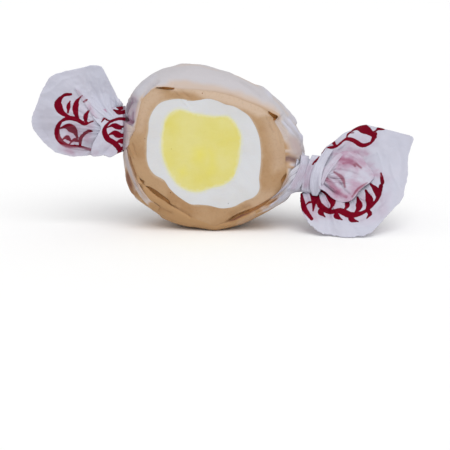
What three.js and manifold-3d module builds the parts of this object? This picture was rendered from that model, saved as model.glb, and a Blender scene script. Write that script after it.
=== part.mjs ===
// Salt water taffy: one soft barrel of three colours, cut open across its core and standing on
// its underside, still in the waxed paper that is twisted shut at both ends.
//
// Millimetres, +Z up. The knife cut faces -Y. The paper's two twists leave to -X and +X along one
// axis that dips to the right. The form is worked out with the cut in the plane y = 0 and the
// surface it stands on at z = 0, and the group is then moved so that the origin is the middle of
// the small flat spot that the taffy rests on.
import * as THREE from 'three';
import { LoftGeometry } from 'three/addons/geometries/LoftGeometry.js';
import { mergeVertices } from 'three/addons/utils/BufferGeometryUtils.js';
import Module from 'manifold-3d';

// ---- The paper and the fit ------------------------------------------------------------------
const PAPER = 0.4; // wax paper, two or three layers together
const PAPER_GAP = 0.15; // air between the paper and the taffy
const LAYER_GAP = 0.15; // between one colour of taffy and the next
const BODY_BOTTOM = PAPER + PAPER_GAP; // the taffy's own lowest point

// ---- The taffy's body -----------------------------------------------------------------------
const BODY = {
  x: 0, // centre line of the barrel
  z: 12.6,
  widestY: 5.5, // depth at which the barrel is widest
  depth: 17, // from the cut to the back
  squareness: 2.5, // how boxy the back is: 2 is round
  rimRound: 0.35, // the knife's edge, slightly rolled
  paperFrontY: 0.4, // where the paper's cut edge lies
  flatSpotY: 5.5, // middle of the flat spot underneath
};

// Outlines are closed smooth curves. Each pair is a direction in degrees, counter-clockwise from
// +X as seen from the front, and the radius there in millimetres.
const WIDEST_OUTLINE = [
  [0, 14.0], [30, 12.4], [60, 11.7], [85, 12.1], [108, 13.7], [130, 14.7], [150, 15.1],
  [168, 14.1], [192, 14.0], [212, 13.9], [238, 13.5], [256, 12.9], [270, 12.8], [286, 12.8],
  [304, 12.9], [330, 14.0],
];
const RIM_OUTLINE = [
  [0, 12.6], [20, 11.8], [42, 11.8], [63, 10.9], [84, 10.9], [102, 11.7], [118, 12.9],
  [138, 14.0], [158, 13.2], [178, 13.1], [198, 11.9], [220, 11.0], [238, 10.6], [256, 11.4],
  [271, 12.0], [286, 11.2], [302, 10.8], [320, 11.1], [338, 12.0],
];

// The marshmallow-white layer and the lemon core share a centre, up and left of the body's.
const CORE = { x: -2.1, z: 13.3, depth: 9.6, squareness: 2.6 };
const WHITE = { depth: 12.6, squareness: 2.5 };
const CORE_OUTLINE = [
  [5, 6.75], [26, 7.25], [45, 7.25], [64, 6.4], [82, 5.9], [98, 6.25], [112, 7.35], [126, 7.9],
  [144, 7.2], [166, 6.4], [200, 6.1], [227, 6.5], [258, 7.0], [281, 7.15], [294, 6.75],
  [312, 7.15], [335, 6.7],
];
const WHITE_OUTLINE = [
  [0, 9.7], [20, 9.4], [45, 9.2], [64, 8.5], [82, 8.55], [95, 8.15], [108, 8.6], [122, 9.5],
  [138, 9.8], [154, 9.1], [182, 8.5], [204, 8.4], [216, 7.5], [232, 8.0], [256, 8.85],
  [270, 8.9], [284, 9.9], [308, 10.9], [321, 11.4], [334, 10.4],
];

// ---- The twists -----------------------------------------------------------------------------
const AXIS = { z: 12.1, y: 4.6, dip: THREE.MathUtils.degToRad(13.9) };
const NECK_STRAPS = 8; // bunched folds of paper side by side round the neck
const NECK_TURN = 0.055; // turns of spiral for each millimetre of neck
const NECK_GROOVE = 0.26; // depth of the groove between two straps, as a share of the radius
const NECK_START = 2.6; // how far the neck reaches from its waist towards the taffy
const NECK_TIP = { reach: 2.4, radius: 1.1 }; // past the fan's centre, where the folds run out

// Each twist: how far its neck's waist and its fan's centre lie from the middle of the body, and
// the neck's radius at its waist and where it flares into the body's paper. Its leaves are the
// fan itself and a lobe of paper lying in front. Each leaf has an outline about the fan's centre,
// as above, a lean forward for each millimetre down, a hollow, and soft folds out of the neck.
const LEFT_TWIST = {
  side: -1,
  waist: 14.9,
  fanCentre: 16.2,
  waistRadius: 2.9,
  flareRadius: 4.2,
  leaves: [
    {
      lean: -0.1,
      hollow: 0.022,
      forward: 0,
      folds: { count: 3, depth: 0.75, phase: 0.62 },
      outline: [
        [70, 4.6], [89, 6.6], [96, 8.8], [101, 10.0], [107, 10.4], [115, 10.5], [127, 11.3],
        [142, 12.6], [158, 13.2], [176, 13.1], [188, 12.2], [202, 10.3], [214, 8.3], [228, 6.7],
        [254, 5.2], [280, 3.9],
      ],
    },
    {
      lean: 0.1,
      hollow: 0.03,
      forward: 1.5,
      folds: { count: 1.5, depth: 0.35, phase: 0.1 },
      outline: [
        [104, 4.4], [140, 3.4], [180, 3.2], [210, 4.2], [232, 5.6], [254, 4.9], [274, 4.2],
      ],
    },
  ],
};
const RIGHT_TWIST = {
  side: 1,
  waist: 15.4,
  fanCentre: 18.0,
  waistRadius: 2.8,
  flareRadius: 4.2,
  leaves: [
    {
      lean: 0.95,
      hollow: 0.035,
      forward: 0,
      folds: { count: 4, depth: 0.7, phase: 0.2 },
      outline: [
        [-150, 4.0], [-132, 5.2], [-115, 6.2], [-96, 7.3], [-76, 8.4], [-60, 9.0], [-45, 10.0],
        [-34, 10.4], [-25, 11.1], [-18, 12.1], [-2, 13.0], [10, 13.6], [24.5, 15.2], [34, 12.6],
        [46, 9.7], [53, 7.9], [64, 6.0], [76, 4.3], [88, 3.5],
      ],
    },
    {
      lean: 0.95,
      hollow: 0.01,
      forward: 1.7,
      folds: { count: 2.5, depth: 0.5, phase: 0.45 },
      outline: [
        [-72, 3.2], [-56, 4.0], [-46, 5.2], [-34, 6.0], [-14, 6.3], [6, 6.9], [24, 7.2],
        [40, 7.8], [56, 7.4], [70, 5.6], [82, 4.2],
      ],
    },
  ],
};
const LEAF_EDGE = 0.5; // paper thickness at a leaf's rim, its layers together
const LEAF_ROOT = 1.4; // and near the neck, where they bunch up
const LEAF_ROOT_SHARE = 0.12; // where a leaf starts, as a share of its radius
const FOLD_FADE = 0.8; // how far a fold has faded at the rim: 1 is all the way
const FLOOR_CLEARANCE = 0.45; // the leaves stay this far above the surface

// ---- Fineness of the facets -----------------------------------------------------------------
const BODY_SIDES = 48;
const CORE_SIDES = 40;
const NECK_SIDES = 48;
const NECK_RINGS = 7;
const DEGREES_PER_SPOKE = 5;
const LEAF_RINGS = 7;

const COLOURS = { tan: 0xb8946b, white: 0xe6e6e4, lemon: 0xe6dc7e, paper: 0xd2d2dc };

const wasm = await Module();
wasm.setup();

// ---- Solids ---------------------------------------------------------------------------------

/** A closed solid through a row of rings, capped at both ends. */
function loft(rings) {
  const lofted = new LoftGeometry(rings, { capStart: true, capEnd: true });
  const positionsOnly = new THREE.BufferGeometry();
  positionsOnly.setAttribute('position', lofted.getAttribute('position'));
  positionsOnly.setIndex(lofted.index);
  const merged = mergeVertices(positionsOnly, 1e-4);
  return new wasm.Manifold(
    new wasm.Mesh({
      numProp: 3,
      vertProperties: merged.attributes.position.array,
      triVerts: new Uint32Array(merged.index.array),
    }),
  );
}

/** The largest body of a solid, with the specks that joining can seal off left behind. */
const mainBody = (solid) => solid.decompose().sort((a, b) => b.volume() - a.volume())[0];

/** A named mesh from a solid. */
function meshOf(name, solid, colour, roughness) {
  const { vertProperties, triVerts } = solid.getMesh();
  const geometry = new THREE.BufferGeometry();
  geometry.setAttribute('position', new THREE.BufferAttribute(vertProperties, 3));
  geometry.setIndex(new THREE.BufferAttribute(triVerts, 1));
  geometry.computeVertexNormals();
  const material = new THREE.MeshStandardMaterial({ color: colour, roughness, metalness: 0 });
  const mesh = new THREE.Mesh(geometry, material);
  mesh.name = name;
  return mesh;
}

// ---- Curves ---------------------------------------------------------------------------------

/** The radius in a direction, in degrees, on a smooth curve through [direction, radius] pairs. */
function radiusAt(outline, degrees, isClosed = true) {
  const count = outline.length;
  const turn = isClosed ? THREE.MathUtils.euclideanModulo(degrees - outline[0][0], 360) : 0;
  const direction = isClosed ? outline[0][0] + turn : degrees;
  const knot = (i) => {
    if (!isClosed) return outline[THREE.MathUtils.clamp(i, 0, count - 1)];
    const [angle, radius] = outline[THREE.MathUtils.euclideanModulo(i, count)];
    return [angle + 360 * Math.floor(i / count), radius];
  };
  let i = 0;
  while (i < count - (isClosed ? 1 : 2) && knot(i + 1)[0] <= direction) i++;
  const slope = (j) => (knot(j + 1)[1] - knot(j - 1)[1]) / (knot(j + 1)[0] - knot(j - 1)[0] || 1);
  const span = knot(i + 1)[0] - knot(i)[0];
  const t = (direction - knot(i)[0]) / span;
  return (
    (2 * t ** 3 - 3 * t ** 2 + 1) * knot(i)[1] +
    (t ** 3 - 2 * t ** 2 + t) * span * slope(i) +
    (3 * t ** 2 - 2 * t ** 3) * knot(i + 1)[1] +
    (t ** 3 - t ** 2) * span * slope(i + 1)
  );
}

/** How much of its full radius a dome keeps at a share of its depth. */
const domeShare = (share, squareness) => (1 - share ** squareness) ** (1 / squareness);

/** Shares of a dome's depth, from its mouth to its pole, closer together near the pole. */
function domeStations(count, last = 0.995) {
  return Array.from({ length: count }, (_, i) => Math.sin((i / (count - 1)) * Math.asin(last)));
}

// ---- The taffy ------------------------------------------------------------------------------

/** One ring in a plane of constant y: a radius for each direction about a centre. */
function ring(y, centre, sides, radiusOf, lowestZ = -Infinity) {
  return Array.from({ length: sides }, (_, i) => {
    const degrees = -(i / sides) * 360;
    const radius = radiusOf(degrees);
    const angle = THREE.MathUtils.degToRad(degrees);
    const z = centre.z + radius * Math.sin(angle);
    return new THREE.Vector3(centre.x + radius * Math.cos(angle), y, Math.max(z, lowestZ));
  });
}

/** The body's outside, from the rim at the cut to the back, grown by an even allowance. */
function bodyRings(grow, fromY, lowestZ) {
  const ringAt = (y, radiusOf) => ring(y, BODY, BODY_SIDES, radiusOf, lowestZ);
  const frontYs = [0, 0.35, 0.9, 1.8, 3.2].filter((y) => y > fromY);
  const front = [fromY, ...frontYs].map((y) => {
    const bulge = Math.sqrt(1 - (1 - Math.max(y, 0) / BODY.widestY) ** 2);
    return ringAt(y, (degrees) => {
      const rim = radiusAt(RIM_OUTLINE, degrees);
      return rim + (radiusAt(WIDEST_OUTLINE, degrees) - rim) * bulge + grow;
    });
  });
  const backDepth = BODY.depth + grow - BODY.widestY;
  const back = domeStations(9).map((share) =>
    ringAt(BODY.widestY + share * backDepth, (degrees) => {
      const radius = radiusAt(WIDEST_OUTLINE, degrees) + grow;
      return radius * domeShare(share, BODY.squareness);
    }),
  );
  return [...front, ...back];
}

/** The rings of an inner layer, from its pole inside the taffy forward to the cut. */
function layerRings(outline, { depth, squareness }, grow, lastY = 0) {
  const full = depth + grow;
  return domeStations(8)
    .map((share) =>
      ring(share === 0 ? lastY : share * full, CORE, CORE_SIDES, (degrees) => {
        return (radiusAt(outline, degrees) + grow) * domeShare(share, squareness);
      }),
    )
    .reverse();
}

/** An inner layer with nothing taken out of it. */
const layerSolid = (outline, dome, grow = 0, lastY = 0) =>
  loft(layerRings(outline, dome, grow, lastY).reverse());

/** The tan coat: the whole body, less the room for the white layer. */
function tanCoat() {
  const rim = ring(0, BODY, BODY_SIDES, (degrees) => radiusAt(RIM_OUTLINE, degrees) - BODY.rimRound);
  const body = loft([rim, ...bodyRings(0, BODY.rimRound, BODY_BOTTOM)]);
  return body.subtract(layerSolid(WHITE_OUTLINE, WHITE, LAYER_GAP, -1));
}

/** The white layer, less the room for the lemon core. */
const whiteLayer = () =>
  layerSolid(WHITE_OUTLINE, WHITE).subtract(layerSolid(CORE_OUTLINE, CORE, LAYER_GAP, -1));

// ---- The wrapper ----------------------------------------------------------------------------

/** A point at a distance along the twists' axis, raised across it and set back from it. */
function besideAxis(along, across, back) {
  const x = along * Math.cos(AXIS.dip) + across * Math.sin(AXIS.dip);
  const z = AXIS.z - along * Math.sin(AXIS.dip) + across * Math.cos(AXIS.dip);
  return new THREE.Vector3(x, AXIS.y + back, z);
}

/** The gathered and twisted neck, from inside the paper's side to the middle of the fan. */
function neck(twist) {
  const start = twist.waist - NECK_START;
  const end = twist.fanCentre + NECK_TIP.reach;
  const rings = Array.from({ length: NECK_RINGS }, (_, j) => {
    const along = THREE.MathUtils.lerp(start, end, j / (NECK_RINGS - 1));
    const inward = Math.max(0, twist.waist - along) / (twist.waist - start);
    const outward = Math.max(0, along - twist.waist) / (end - twist.waist);
    const flared = THREE.MathUtils.lerp(twist.waistRadius, twist.flareRadius, inward ** 1.6);
    const radius = THREE.MathUtils.lerp(flared, NECK_TIP.radius, outward ** 1.8);
    const spiral = 2 * Math.PI * NECK_TURN * along;
    return Array.from({ length: NECK_SIDES }, (_, i) => {
      const turn = i / NECK_SIDES;
      const angle = 2 * Math.PI * turn * twist.side + spiral;
      const strap = Math.abs(Math.cos(Math.PI * NECK_STRAPS * turn));
      const r = radius * (1 - NECK_GROOVE * (1 - strap));
      return besideAxis(twist.side * along, r * Math.sin(angle), r * Math.cos(angle));
    });
  });
  return loft(rings);
}

/** One leaf of loose paper past the neck: thin and softly folded, a section for each spoke. */
function leafOf(twist, leaf) {
  const centre = besideAxis(twist.side * twist.fanCentre, 0, 0);
  const first = leaf.outline[0][0];
  const last = leaf.outline[leaf.outline.length - 1][0];
  const spokes = Math.round((last - first) / DEGREES_PER_SPOKE);
  const pointAt = (spoke, share, face) => {
    const degrees = THREE.MathUtils.lerp(first, last, spoke);
    const angle = THREE.MathUtils.degToRad(degrees);
    const reach = share * radiusAt(leaf.outline, degrees, false);
    const right = reach * Math.cos(angle);
    const up = reach * Math.sin(angle);
    const { count, depth, phase } = leaf.folds;
    const turns = 2 * Math.PI * (spoke * count + phase);
    const wave = 0.6 * Math.sin(turns) + 0.4 * Math.sin(2.3 * turns + 1);
    const fold = depth * wave * Math.sin(share * Math.PI * FOLD_FADE);
    const lean = leaf.lean * up - (leaf.hollow * reach ** 2) / 2 - leaf.forward * share;
    const half = THREE.MathUtils.lerp(LEAF_ROOT, LEAF_EDGE, Math.sqrt(share)) / 2;
    const z = Math.max(centre.z + up, FLOOR_CLEARANCE);
    return new THREE.Vector3(centre.x + right, centre.y + lean + fold + face * half, z);
  };
  const shares = Array.from({ length: LEAF_RINGS }, (_, i) =>
    THREE.MathUtils.lerp(LEAF_ROOT_SHARE, 1, i / (LEAF_RINGS - 1)),
  );
  const sections = Array.from({ length: spokes + 1 }, (_, i) => [
    ...shares.map((share) => pointAt(i / spokes, share, -1)),
    ...[...shares].reverse().map((share) => pointAt(i / spokes, share, 1)),
  ]);
  return loft(sections);
}

/** One end of the paper: its neck and its leaves, in one. */
const twistOf = (twist) =>
  twist.leaves.reduce((paper, leaf) => paper.add(leafOf(twist, leaf)), neck(twist));

/** The whole wrapper: a cup of paper behind the cut, and its two twisted ends. */
function wrapper() {
  const outside = loft(bodyRings(PAPER + PAPER_GAP, BODY.paperFrontY, 0));
  const room = loft(bodyRings(PAPER_GAP, -8, BODY_BOTTOM - PAPER_GAP));
  const paper = outside.add(twistOf(LEFT_TWIST)).add(twistOf(RIGHT_TWIST));
  return mainBody(paper.subtract(room));
}

// ---- The part -------------------------------------------------------------------------------
const taffy = new THREE.Group();
taffy.name = 'salt_water_taffy';
taffy.position.y = -BODY.flatSpotY;
taffy.add(meshOf('lemon_core', layerSolid(CORE_OUTLINE, CORE), COLOURS.lemon, 0.6));
taffy.add(meshOf('white_layer', whiteLayer(), COLOURS.white, 0.6));
taffy.add(meshOf('tan_coat', tanCoat(), COLOURS.tan, 0.65));
taffy.add(meshOf('wax_wrapper', wrapper(), COLOURS.paper, 0.45));

export default taffy;
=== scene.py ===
import logging
import math
from collections.abc import Callable
from dataclasses import dataclass
from enum import Enum
from functools import cached_property, lru_cache

import bmesh
import bpy
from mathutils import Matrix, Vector, noise
from mathutils.bvhtree import BVHTree


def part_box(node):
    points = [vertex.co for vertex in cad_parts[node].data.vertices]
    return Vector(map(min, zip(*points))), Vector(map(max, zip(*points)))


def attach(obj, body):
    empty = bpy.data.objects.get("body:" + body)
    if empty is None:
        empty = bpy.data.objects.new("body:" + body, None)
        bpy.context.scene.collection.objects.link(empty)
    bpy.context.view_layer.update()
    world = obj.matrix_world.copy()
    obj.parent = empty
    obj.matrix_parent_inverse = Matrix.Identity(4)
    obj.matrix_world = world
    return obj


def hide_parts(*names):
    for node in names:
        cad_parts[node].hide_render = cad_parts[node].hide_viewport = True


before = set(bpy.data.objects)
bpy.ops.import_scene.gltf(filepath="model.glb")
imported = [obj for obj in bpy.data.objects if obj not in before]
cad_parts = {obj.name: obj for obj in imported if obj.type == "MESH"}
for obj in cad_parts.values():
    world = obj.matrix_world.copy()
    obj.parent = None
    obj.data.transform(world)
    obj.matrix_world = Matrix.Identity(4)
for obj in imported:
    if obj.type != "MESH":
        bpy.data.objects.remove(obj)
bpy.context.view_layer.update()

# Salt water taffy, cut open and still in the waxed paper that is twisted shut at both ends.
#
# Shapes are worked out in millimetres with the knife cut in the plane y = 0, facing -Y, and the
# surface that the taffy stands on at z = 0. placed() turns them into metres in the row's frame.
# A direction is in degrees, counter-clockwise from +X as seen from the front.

MM = 0.001  # metres in a millimetre
CUT_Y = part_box("tan_coat")[0][1]  # the knife's plane, in the row's frame
MARKS = ("contact", "see_through_and_shade", "ink", "edge", "deep")  # every skin has all of these
CORNER = math.radians(50)  # an edge that turns further than this is shaded as a sharp one
INK_REACH = 3.0  # pixels to each side of a stroke's edge that the ink mark tells apart
NO_BORDER = 9.0  # the edge mark of a place that is nowhere near a border, in millimetres
NEAR_FLOOR = 0.12  # the lowest that the paper is shaped, in millimetres above the floor
DEPTH_CELLS = 12  # cells across and along the grid on which an overlay feels what carries it
FARTHEST = 0.235  # metres from the camera, beyond all that carries an overlay

Knots = tuple[tuple[float, float], ...]  # (direction or place, value) pairs along a curve
Places = tuple[tuple[float, float], ...]  # places in the camera's picture, in pixels
Marks = dict[str, float]  # what a material reads at a vertex, by name
Placer = Callable[[float, float], tuple[Vector, Marks]]  # gives a vertex from two shares

log = logging.getLogger("taffy")


# ---- Small mathematics ----------------------------------------------------------------------


def placed(point: Vector) -> Vector:
    """Turns a point in millimetres behind the cut into metres in the row's frame.

    Args:
        point: The point, with the cut at y = 0.

    Returns:
        The same point where the frame has it.
    """
    return Vector((point.x * MM, point.y * MM + CUT_Y, point.z * MM))


def smooth(low: float, high: float, value: float) -> float:
    """Rises softly from 0 at low to 1 at high."""
    t = min(1.0, max(0.0, (value - low) / (high - low)))
    return t * t * (3 - 2 * t)


def lerp(a: float, b: float, t: float) -> float:
    """The value a share t of the way from a to b."""
    return a + (b - a) * t


def on_line(knots: Knots, place: float) -> float:
    """Reads a closed line of straight stretches between its knots.

    Args:
        knots: The line's (direction, value) pairs, in rising order.
        place: The direction, in degrees.

    Returns:
        The value there.
    """
    previous = (knots[-1][0] - 360, knots[-1][1])
    for knot in (*knots, (knots[0][0] + 360, knots[0][1])):
        if place < knot[0]:
            return lerp(previous[1], knot[1], (place - previous[0]) / (knot[0] - previous[0]))
        previous = knot
    return knots[0][1]


@lru_cache(maxsize=None)
def on_curve(knots: Knots, place: float, closed: bool = True) -> float:
    """Reads a smooth curve through its knots.

    Args:
        knots: The curve's (place, value) pairs, in rising order of place.
        place: Where to read it, in degrees on a closed curve.
        closed: Whether the curve joins up after 360 degrees.

    Returns:
        The value there.
    """
    count = len(knots)

    def knot(i: int) -> tuple[float, float]:
        """A knot by its number, which may run past either end."""
        if not closed:
            return knots[min(max(i, 0), count - 1)]
        turns, k = divmod(i, count)
        return knots[k][0] + 360 * turns, knots[k][1]

    if closed:
        place = knots[0][0] + (place - knots[0][0]) % 360
    i = 0
    while i < count - (1 if closed else 2) and knot(i + 1)[0] <= place:
        i += 1

    def slope(j: int) -> float:
        """How steep the curve is at a knot."""
        run = knot(j + 1)[0] - knot(j - 1)[0]
        return (knot(j + 1)[1] - knot(j - 1)[1]) / (run or 1)

    span = knot(i + 1)[0] - knot(i)[0]
    t = (place - knot(i)[0]) / span
    return (
        (2 * t**3 - 3 * t**2 + 1) * knot(i)[1]
        + (t**3 - 2 * t**2 + t) * span * slope(i)
        + (3 * t**2 - 2 * t**3) * knot(i + 1)[1]
        + (t**3 - t**2) * span * slope(i + 1)
    )


def ridges(point: Vector) -> float:
    """Sharp creases between soft hollows, from about 0 to 1, one to each unit of length."""
    return max(0.0, 1 - 2.4 * abs(noise.noise(point)))


# ---- What the camera sees -------------------------------------------------------------------


@dataclass(frozen=True)
class Eye:
    """The camera, and where in its picture of 450 by 450 pixels a point is seen."""

    lens: float = 100.0
    sensor: float = 36.0
    elevation: float = math.radians(12)
    picture: float = 450.0
    pixels_per_mm: float = 6.3  # in the knife's plane
    aim_x: float = 1.9
    aim_z: float = 1.14

    @property
    def distance(self) -> float:
        """Millimetres from the camera to the point that it aims at."""
        return self.picture / self.pixels_per_mm * self.lens / self.sensor

    @property
    def location(self) -> Vector:
        """Where the camera is, in millimetres."""
        back = Vector((0.0, -math.cos(self.elevation), math.sin(self.elevation)))
        return Vector((self.aim_x, 0.0, self.aim_z)) + back * self.distance

    def sees(self, point: Vector) -> tuple[float, float]:
        """Finds a point in the picture.

        Args:
            point: The point, in millimetres.

        Returns:
            Its place in pixels, from the picture's top left corner.
        """
        sine, cosine = math.sin(self.elevation), math.cos(self.elevation)
        up, middle = point.z - self.aim_z, self.picture / 2
        away = self.distance + point.y * cosine - up * sine
        scale = self.pixels_per_mm * self.distance / away
        right = (point.x - self.aim_x) * scale
        return middle + right, middle - (point.y * sine + up * cosine) * scale

    def behind(self, across: float, down: float, y: float = 0.0) -> Vector:
        """Finds what lies behind a place in the picture.

        Args:
            across: The place's pixels from the left.
            down: The place's pixels from the top.
            y: The depth to look at, in millimetres behind the cut.

        Returns:
            The point at that depth.
        """
        sine, cosine = math.sin(self.elevation), math.cos(self.elevation)
        right = (across - self.picture / 2) / self.pixels_per_mm / self.distance
        rise = (self.picture / 2 - down) / self.pixels_per_mm / self.distance
        straight = self.distance + y * cosine
        up = (rise * straight - y * sine) / (cosine + rise * sine)
        return Vector((self.aim_x + right * (straight - up * sine), y, self.aim_z + up))


EYE = Eye()


def to_line(x: float, y: float, line: Places) -> tuple[float, float, float]:
    """Measures from a place to a line of straight stretches.

    Args:
        x: The place, across.
        y: The place, down.
        line: The line.

    Returns:
        The distance, the share of the way along the line, and the side, from -1 to 1.
    """
    best = (math.inf, 0.0, 1.0)
    for i, ((ax, ay), (bx, by)) in enumerate(zip(line, line[1:])):
        dx, dy = bx - ax, by - ay
        t = ((x - ax) * dx + (y - ay) * dy) / (dx * dx + dy * dy)
        t = min(1.0, max(0.0, t))
        off = math.hypot(x - ax - t * dx, y - ay - t * dy)
        if off < best[0]:
            side = math.copysign(1.0, (x - ax) * dy - (y - ay) * dx)
            best = (off, (i + t) / (len(line) - 1), side)
    return best


@dataclass(frozen=True)
class Crease:
    """A fold or crease, placed as it is seen in the picture."""

    path: Places
    reach: float  # pixels to each side
    rise: float  # millimetres towards the eye, and less than 0 for a valley
    touch: float | None = None  # how far the paper there lies on the taffy
    painted_brown_shade: float = 0.0  # how far painted brown shade darkens it, in folds and under overhanging edges
    deep: float = 0.0  # how far painted shade darkens it deep in folds, and partly the inked layers below
    lapped: bool = False  # whether one side only is raised, the left one going along the path
    taper: float = 0.18  # share of the path over which each end fades

    def weight(self, x: float, y: float) -> float:
        """Finds how strong the crease is at a place in the picture.

        Args:
            x: The place's pixels from the left.
            y: The place's pixels from the top.

        Returns:
            Its strength, from 0 to 1.
        """
        xs, ys = [p[0] for p in self.path], [p[1] for p in self.path]
        if not min(xs) - self.reach < x < max(xs) + self.reach:
            return 0.0
        if not min(ys) - self.reach < y < max(ys) + self.reach:
            return 0.0
        off, share, side = to_line(x, y, self.path)
        if off >= self.reach:
            return 0.0
        ends = smooth(0.0, self.taper, share) * smooth(1.0, 1 - self.taper, share)
        if not self.lapped:
            return (1 - off / self.reach) ** 1.4 * ends
        return smooth(-0.5, 0.5, off * side) * (1 - smooth(0.0, self.reach, off)) * ends


@dataclass(frozen=True)
class Area:
    """An area with soft edges, placed as it is seen in the picture."""

    border: Places
    soft: float  # pixels
    strength: float = 1.0

    def away(self, x: float, y: float) -> float:
        """Measures how far a place in the picture is from the area.

        Args:
            x: The place's pixels from the left.
            y: The place's pixels from the top.

        Returns:
            The distance in pixels, less than 0 inside the area.
        """
        inside = False
        ring = (*self.border, self.border[0])
        for (ax, ay), (bx, by) in zip(ring, ring[1:]):
            if (ay > y) != (by > y) and x < ax + (y - ay) * (bx - ax) / (by - ay):
                inside = not inside
        off = to_line(x, y, ring)[0]
        return -off if inside else off

    def weight(self, x: float, y: float) -> float:
        """How far inside the area a place is, from 0 to its strength."""
        return self.strength * smooth(self.soft, -self.soft, self.away(x, y))


@dataclass(frozen=True)
class Stroke:
    """One printed stroke of the brush, placed as it is seen in the picture."""

    path: Places
    widths: tuple[float, float, float]  # pixels, at its start, middle and end
    nib: float = math.radians(40)  # the direction in which the brush is flat

    @cached_property
    def line(self) -> Places:
        """The smooth line that the brush followed."""
        steps = 6 * (len(self.path) - 1)
        return tuple(through(self.path, i / steps) for i in range(steps + 1))

    @cached_property
    def halves(self) -> tuple[float, ...]:
        """Half the stroke's width at each point of its line."""
        start, middle, end = self.widths
        last, halves = len(self.line) - 1, []
        for i in range(last + 1):
            share = i / last
            rising = smooth(0.0, 0.5, share) if share < 0.5 else smooth(1.0, 0.5, share)
            (ax, ay), (bx, by) = self.line[max(i - 1, 0)], self.line[min(i + 1, last)]
            across = abs(math.sin(math.atan2(ay - by, bx - ax) - self.nib))
            width = lerp(start if share < 0.5 else end, middle, rising)
            halves.append(width / 2 * lerp(0.5, 1.2, across))
        return tuple(halves)

    @cached_property
    def box(self) -> tuple[float, float, float, float]:
        """The least and greatest place across and down that the ink mark can tell apart."""
        margin = max(self.widths) / 2 + INK_REACH
        xs, ys = [p[0] for p in self.line], [p[1] for p in self.line]
        return min(xs) - margin, max(xs) + margin, min(ys) - margin, max(ys) + margin

    def depth(self, x: float, y: float) -> float:
        """Measures how far inside the stroke a place in the picture is.

        Args:
            x: The place's pixels from the left.
            y: The place's pixels from the top.

        Returns:
            The depth in pixels, less than 0 outside the stroke.
        """
        left, right, top, bottom = self.box
        if not (left < x < right and top < y < bottom):
            return -INK_REACH
        off, share, _ = to_line(x, y, self.line)
        place = share * (len(self.line) - 1)
        before = min(int(place), len(self.line) - 2)
        return lerp(*self.halves[before : before + 2], place - before) - off


def most(areas: tuple[Area, ...], seen: tuple[float, float]) -> float:
    """The strongest of some areas at a place in the picture."""
    return max((area.weight(*seen) for area in areas), default=0.0)


def inked(strokes: tuple[Stroke, ...], seen: tuple[float, float]) -> float:
    """Works out a sheet's ink mark.

    Args:
        strokes: What is printed on the sheet.
        seen: The place in the picture.

    Returns:
        1 at a stroke's edge, up to 2 inside it, and 0 well clear of it.
    """
    depth = max((stroke.depth(*seen) for stroke in strokes), default=-INK_REACH)
    return 1 + min(1.0, max(-1.0, depth / INK_REACH))


def in_sight(point: Vector) -> float:
    """How far a point of the barrel's side still looks as the picture shows it, from 0 to 1."""
    wander = 1.3 * noise.noise(Vector((point.x * 0.3, 6.1, point.z * 0.3)))
    wander += 0.5 * noise.noise(Vector((point.x, 3.1, point.z)))
    return 1 - smooth(3.6, 8.6, point.y + wander)


def folded(
    creases: tuple[Crease, ...], seen: tuple[float, float], contact: float = 0.0,
    strength: float = 1.0,
) -> tuple[float, Marks]:
    """Adds up what some creases do at a place in the picture.

    Args:
        creases: The creases.
        seen: The place.
        contact: How far the paper would lie on the taffy there without them.
        strength: How strong they all are there, from 0 to 1.

    Returns:
        Their rise in millimetres, and the marks that they leave.
    """
    # besides their rise, the creases paint brown shade and deep-fold shade into the paper's colour
    rise, painted_brown_shade, deep = 0.0, 0.0, 0.0
    for crease in creases:
        weight = strength * crease.weight(*seen)
        if weight:
            strong = min(1.0, 1.6 * weight)
            rise += crease.rise * weight
            painted_brown_shade, deep = max(painted_brown_shade, crease.painted_brown_shade * strong), max(deep, crease.deep * strong)
            if crease.touch is not None:
                contact = lerp(contact, crease.touch, strong)
    return rise, {"contact": contact, "edge": painted_brown_shade, "deep": deep}


# ---- Skins: grids bent into shape -----------------------------------------------------------


def bent_grid(columns: int, rows: int, place: Placer, wraps: bool) -> bmesh.types.BMesh:
    """Bends a flat grid into a skin, and writes the marks.

    Args:
        columns: Faces across.
        rows: Faces along.
        place: Gives each vertex its point in millimetres and its marks, from its share of the
            way across and along.
        wraps: Whether the skin closes on itself, across, and at poles along.

    Returns:
        The skin, in metres in the row's frame.
    """
    skin = bmesh.new()
    floats = {name: skin.verts.layers.float.new(name) for name in MARKS}
    bmesh.ops.create_grid(skin, x_segments=columns, y_segments=rows, size=0.5)
    for vertex in skin.verts:
        point, marks = place(vertex.co.x + 0.5, vertex.co.y + 0.5)
        vertex.co = placed(point)
        for name, layer in floats.items():
            vertex[layer] = marks.get(name, 0.0)
    for face in skin.faces:
        face.smooth = True
    if wraps:
        bmesh.ops.remove_doubles(skin, verts=skin.verts, dist=1e-6)
    bmesh.ops.recalc_face_normals(skin, faces=skin.faces)
    for edge in skin.edges:
        edge.smooth = edge.calc_face_angle(0.0) < CORNER
    return skin


@dataclass(frozen=True)
class Band:
    """One stretch of a closed skin, from one ring to the next."""

    rows: int
    at: Placer  # from a direction in degrees and a share of the way along


def banded_skin(columns: int, bands: list[Band]) -> bmesh.types.BMesh:
    """Joins bands end to end into one closed skin.

    Args:
        columns: Faces round the skin.
        bands: The stretches, the first and last of which end in a point.

    Returns:
        The skin, in metres in the row's frame.
    """
    stations = [(bands[0], 0.0)]
    for band in bands:
        stations += [(band, (i + 1) / band.rows) for i in range(band.rows)]
    last = len(stations) - 1

    def place(across: float, along: float) -> tuple[Vector, Marks]:
        """Hands a vertex to the band that its row is in."""
        band, share = stations[round(along * last)]
        return band.at(round(across * 360, 4), share)

    return bent_grid(columns, last, place, wraps=True)


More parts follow.
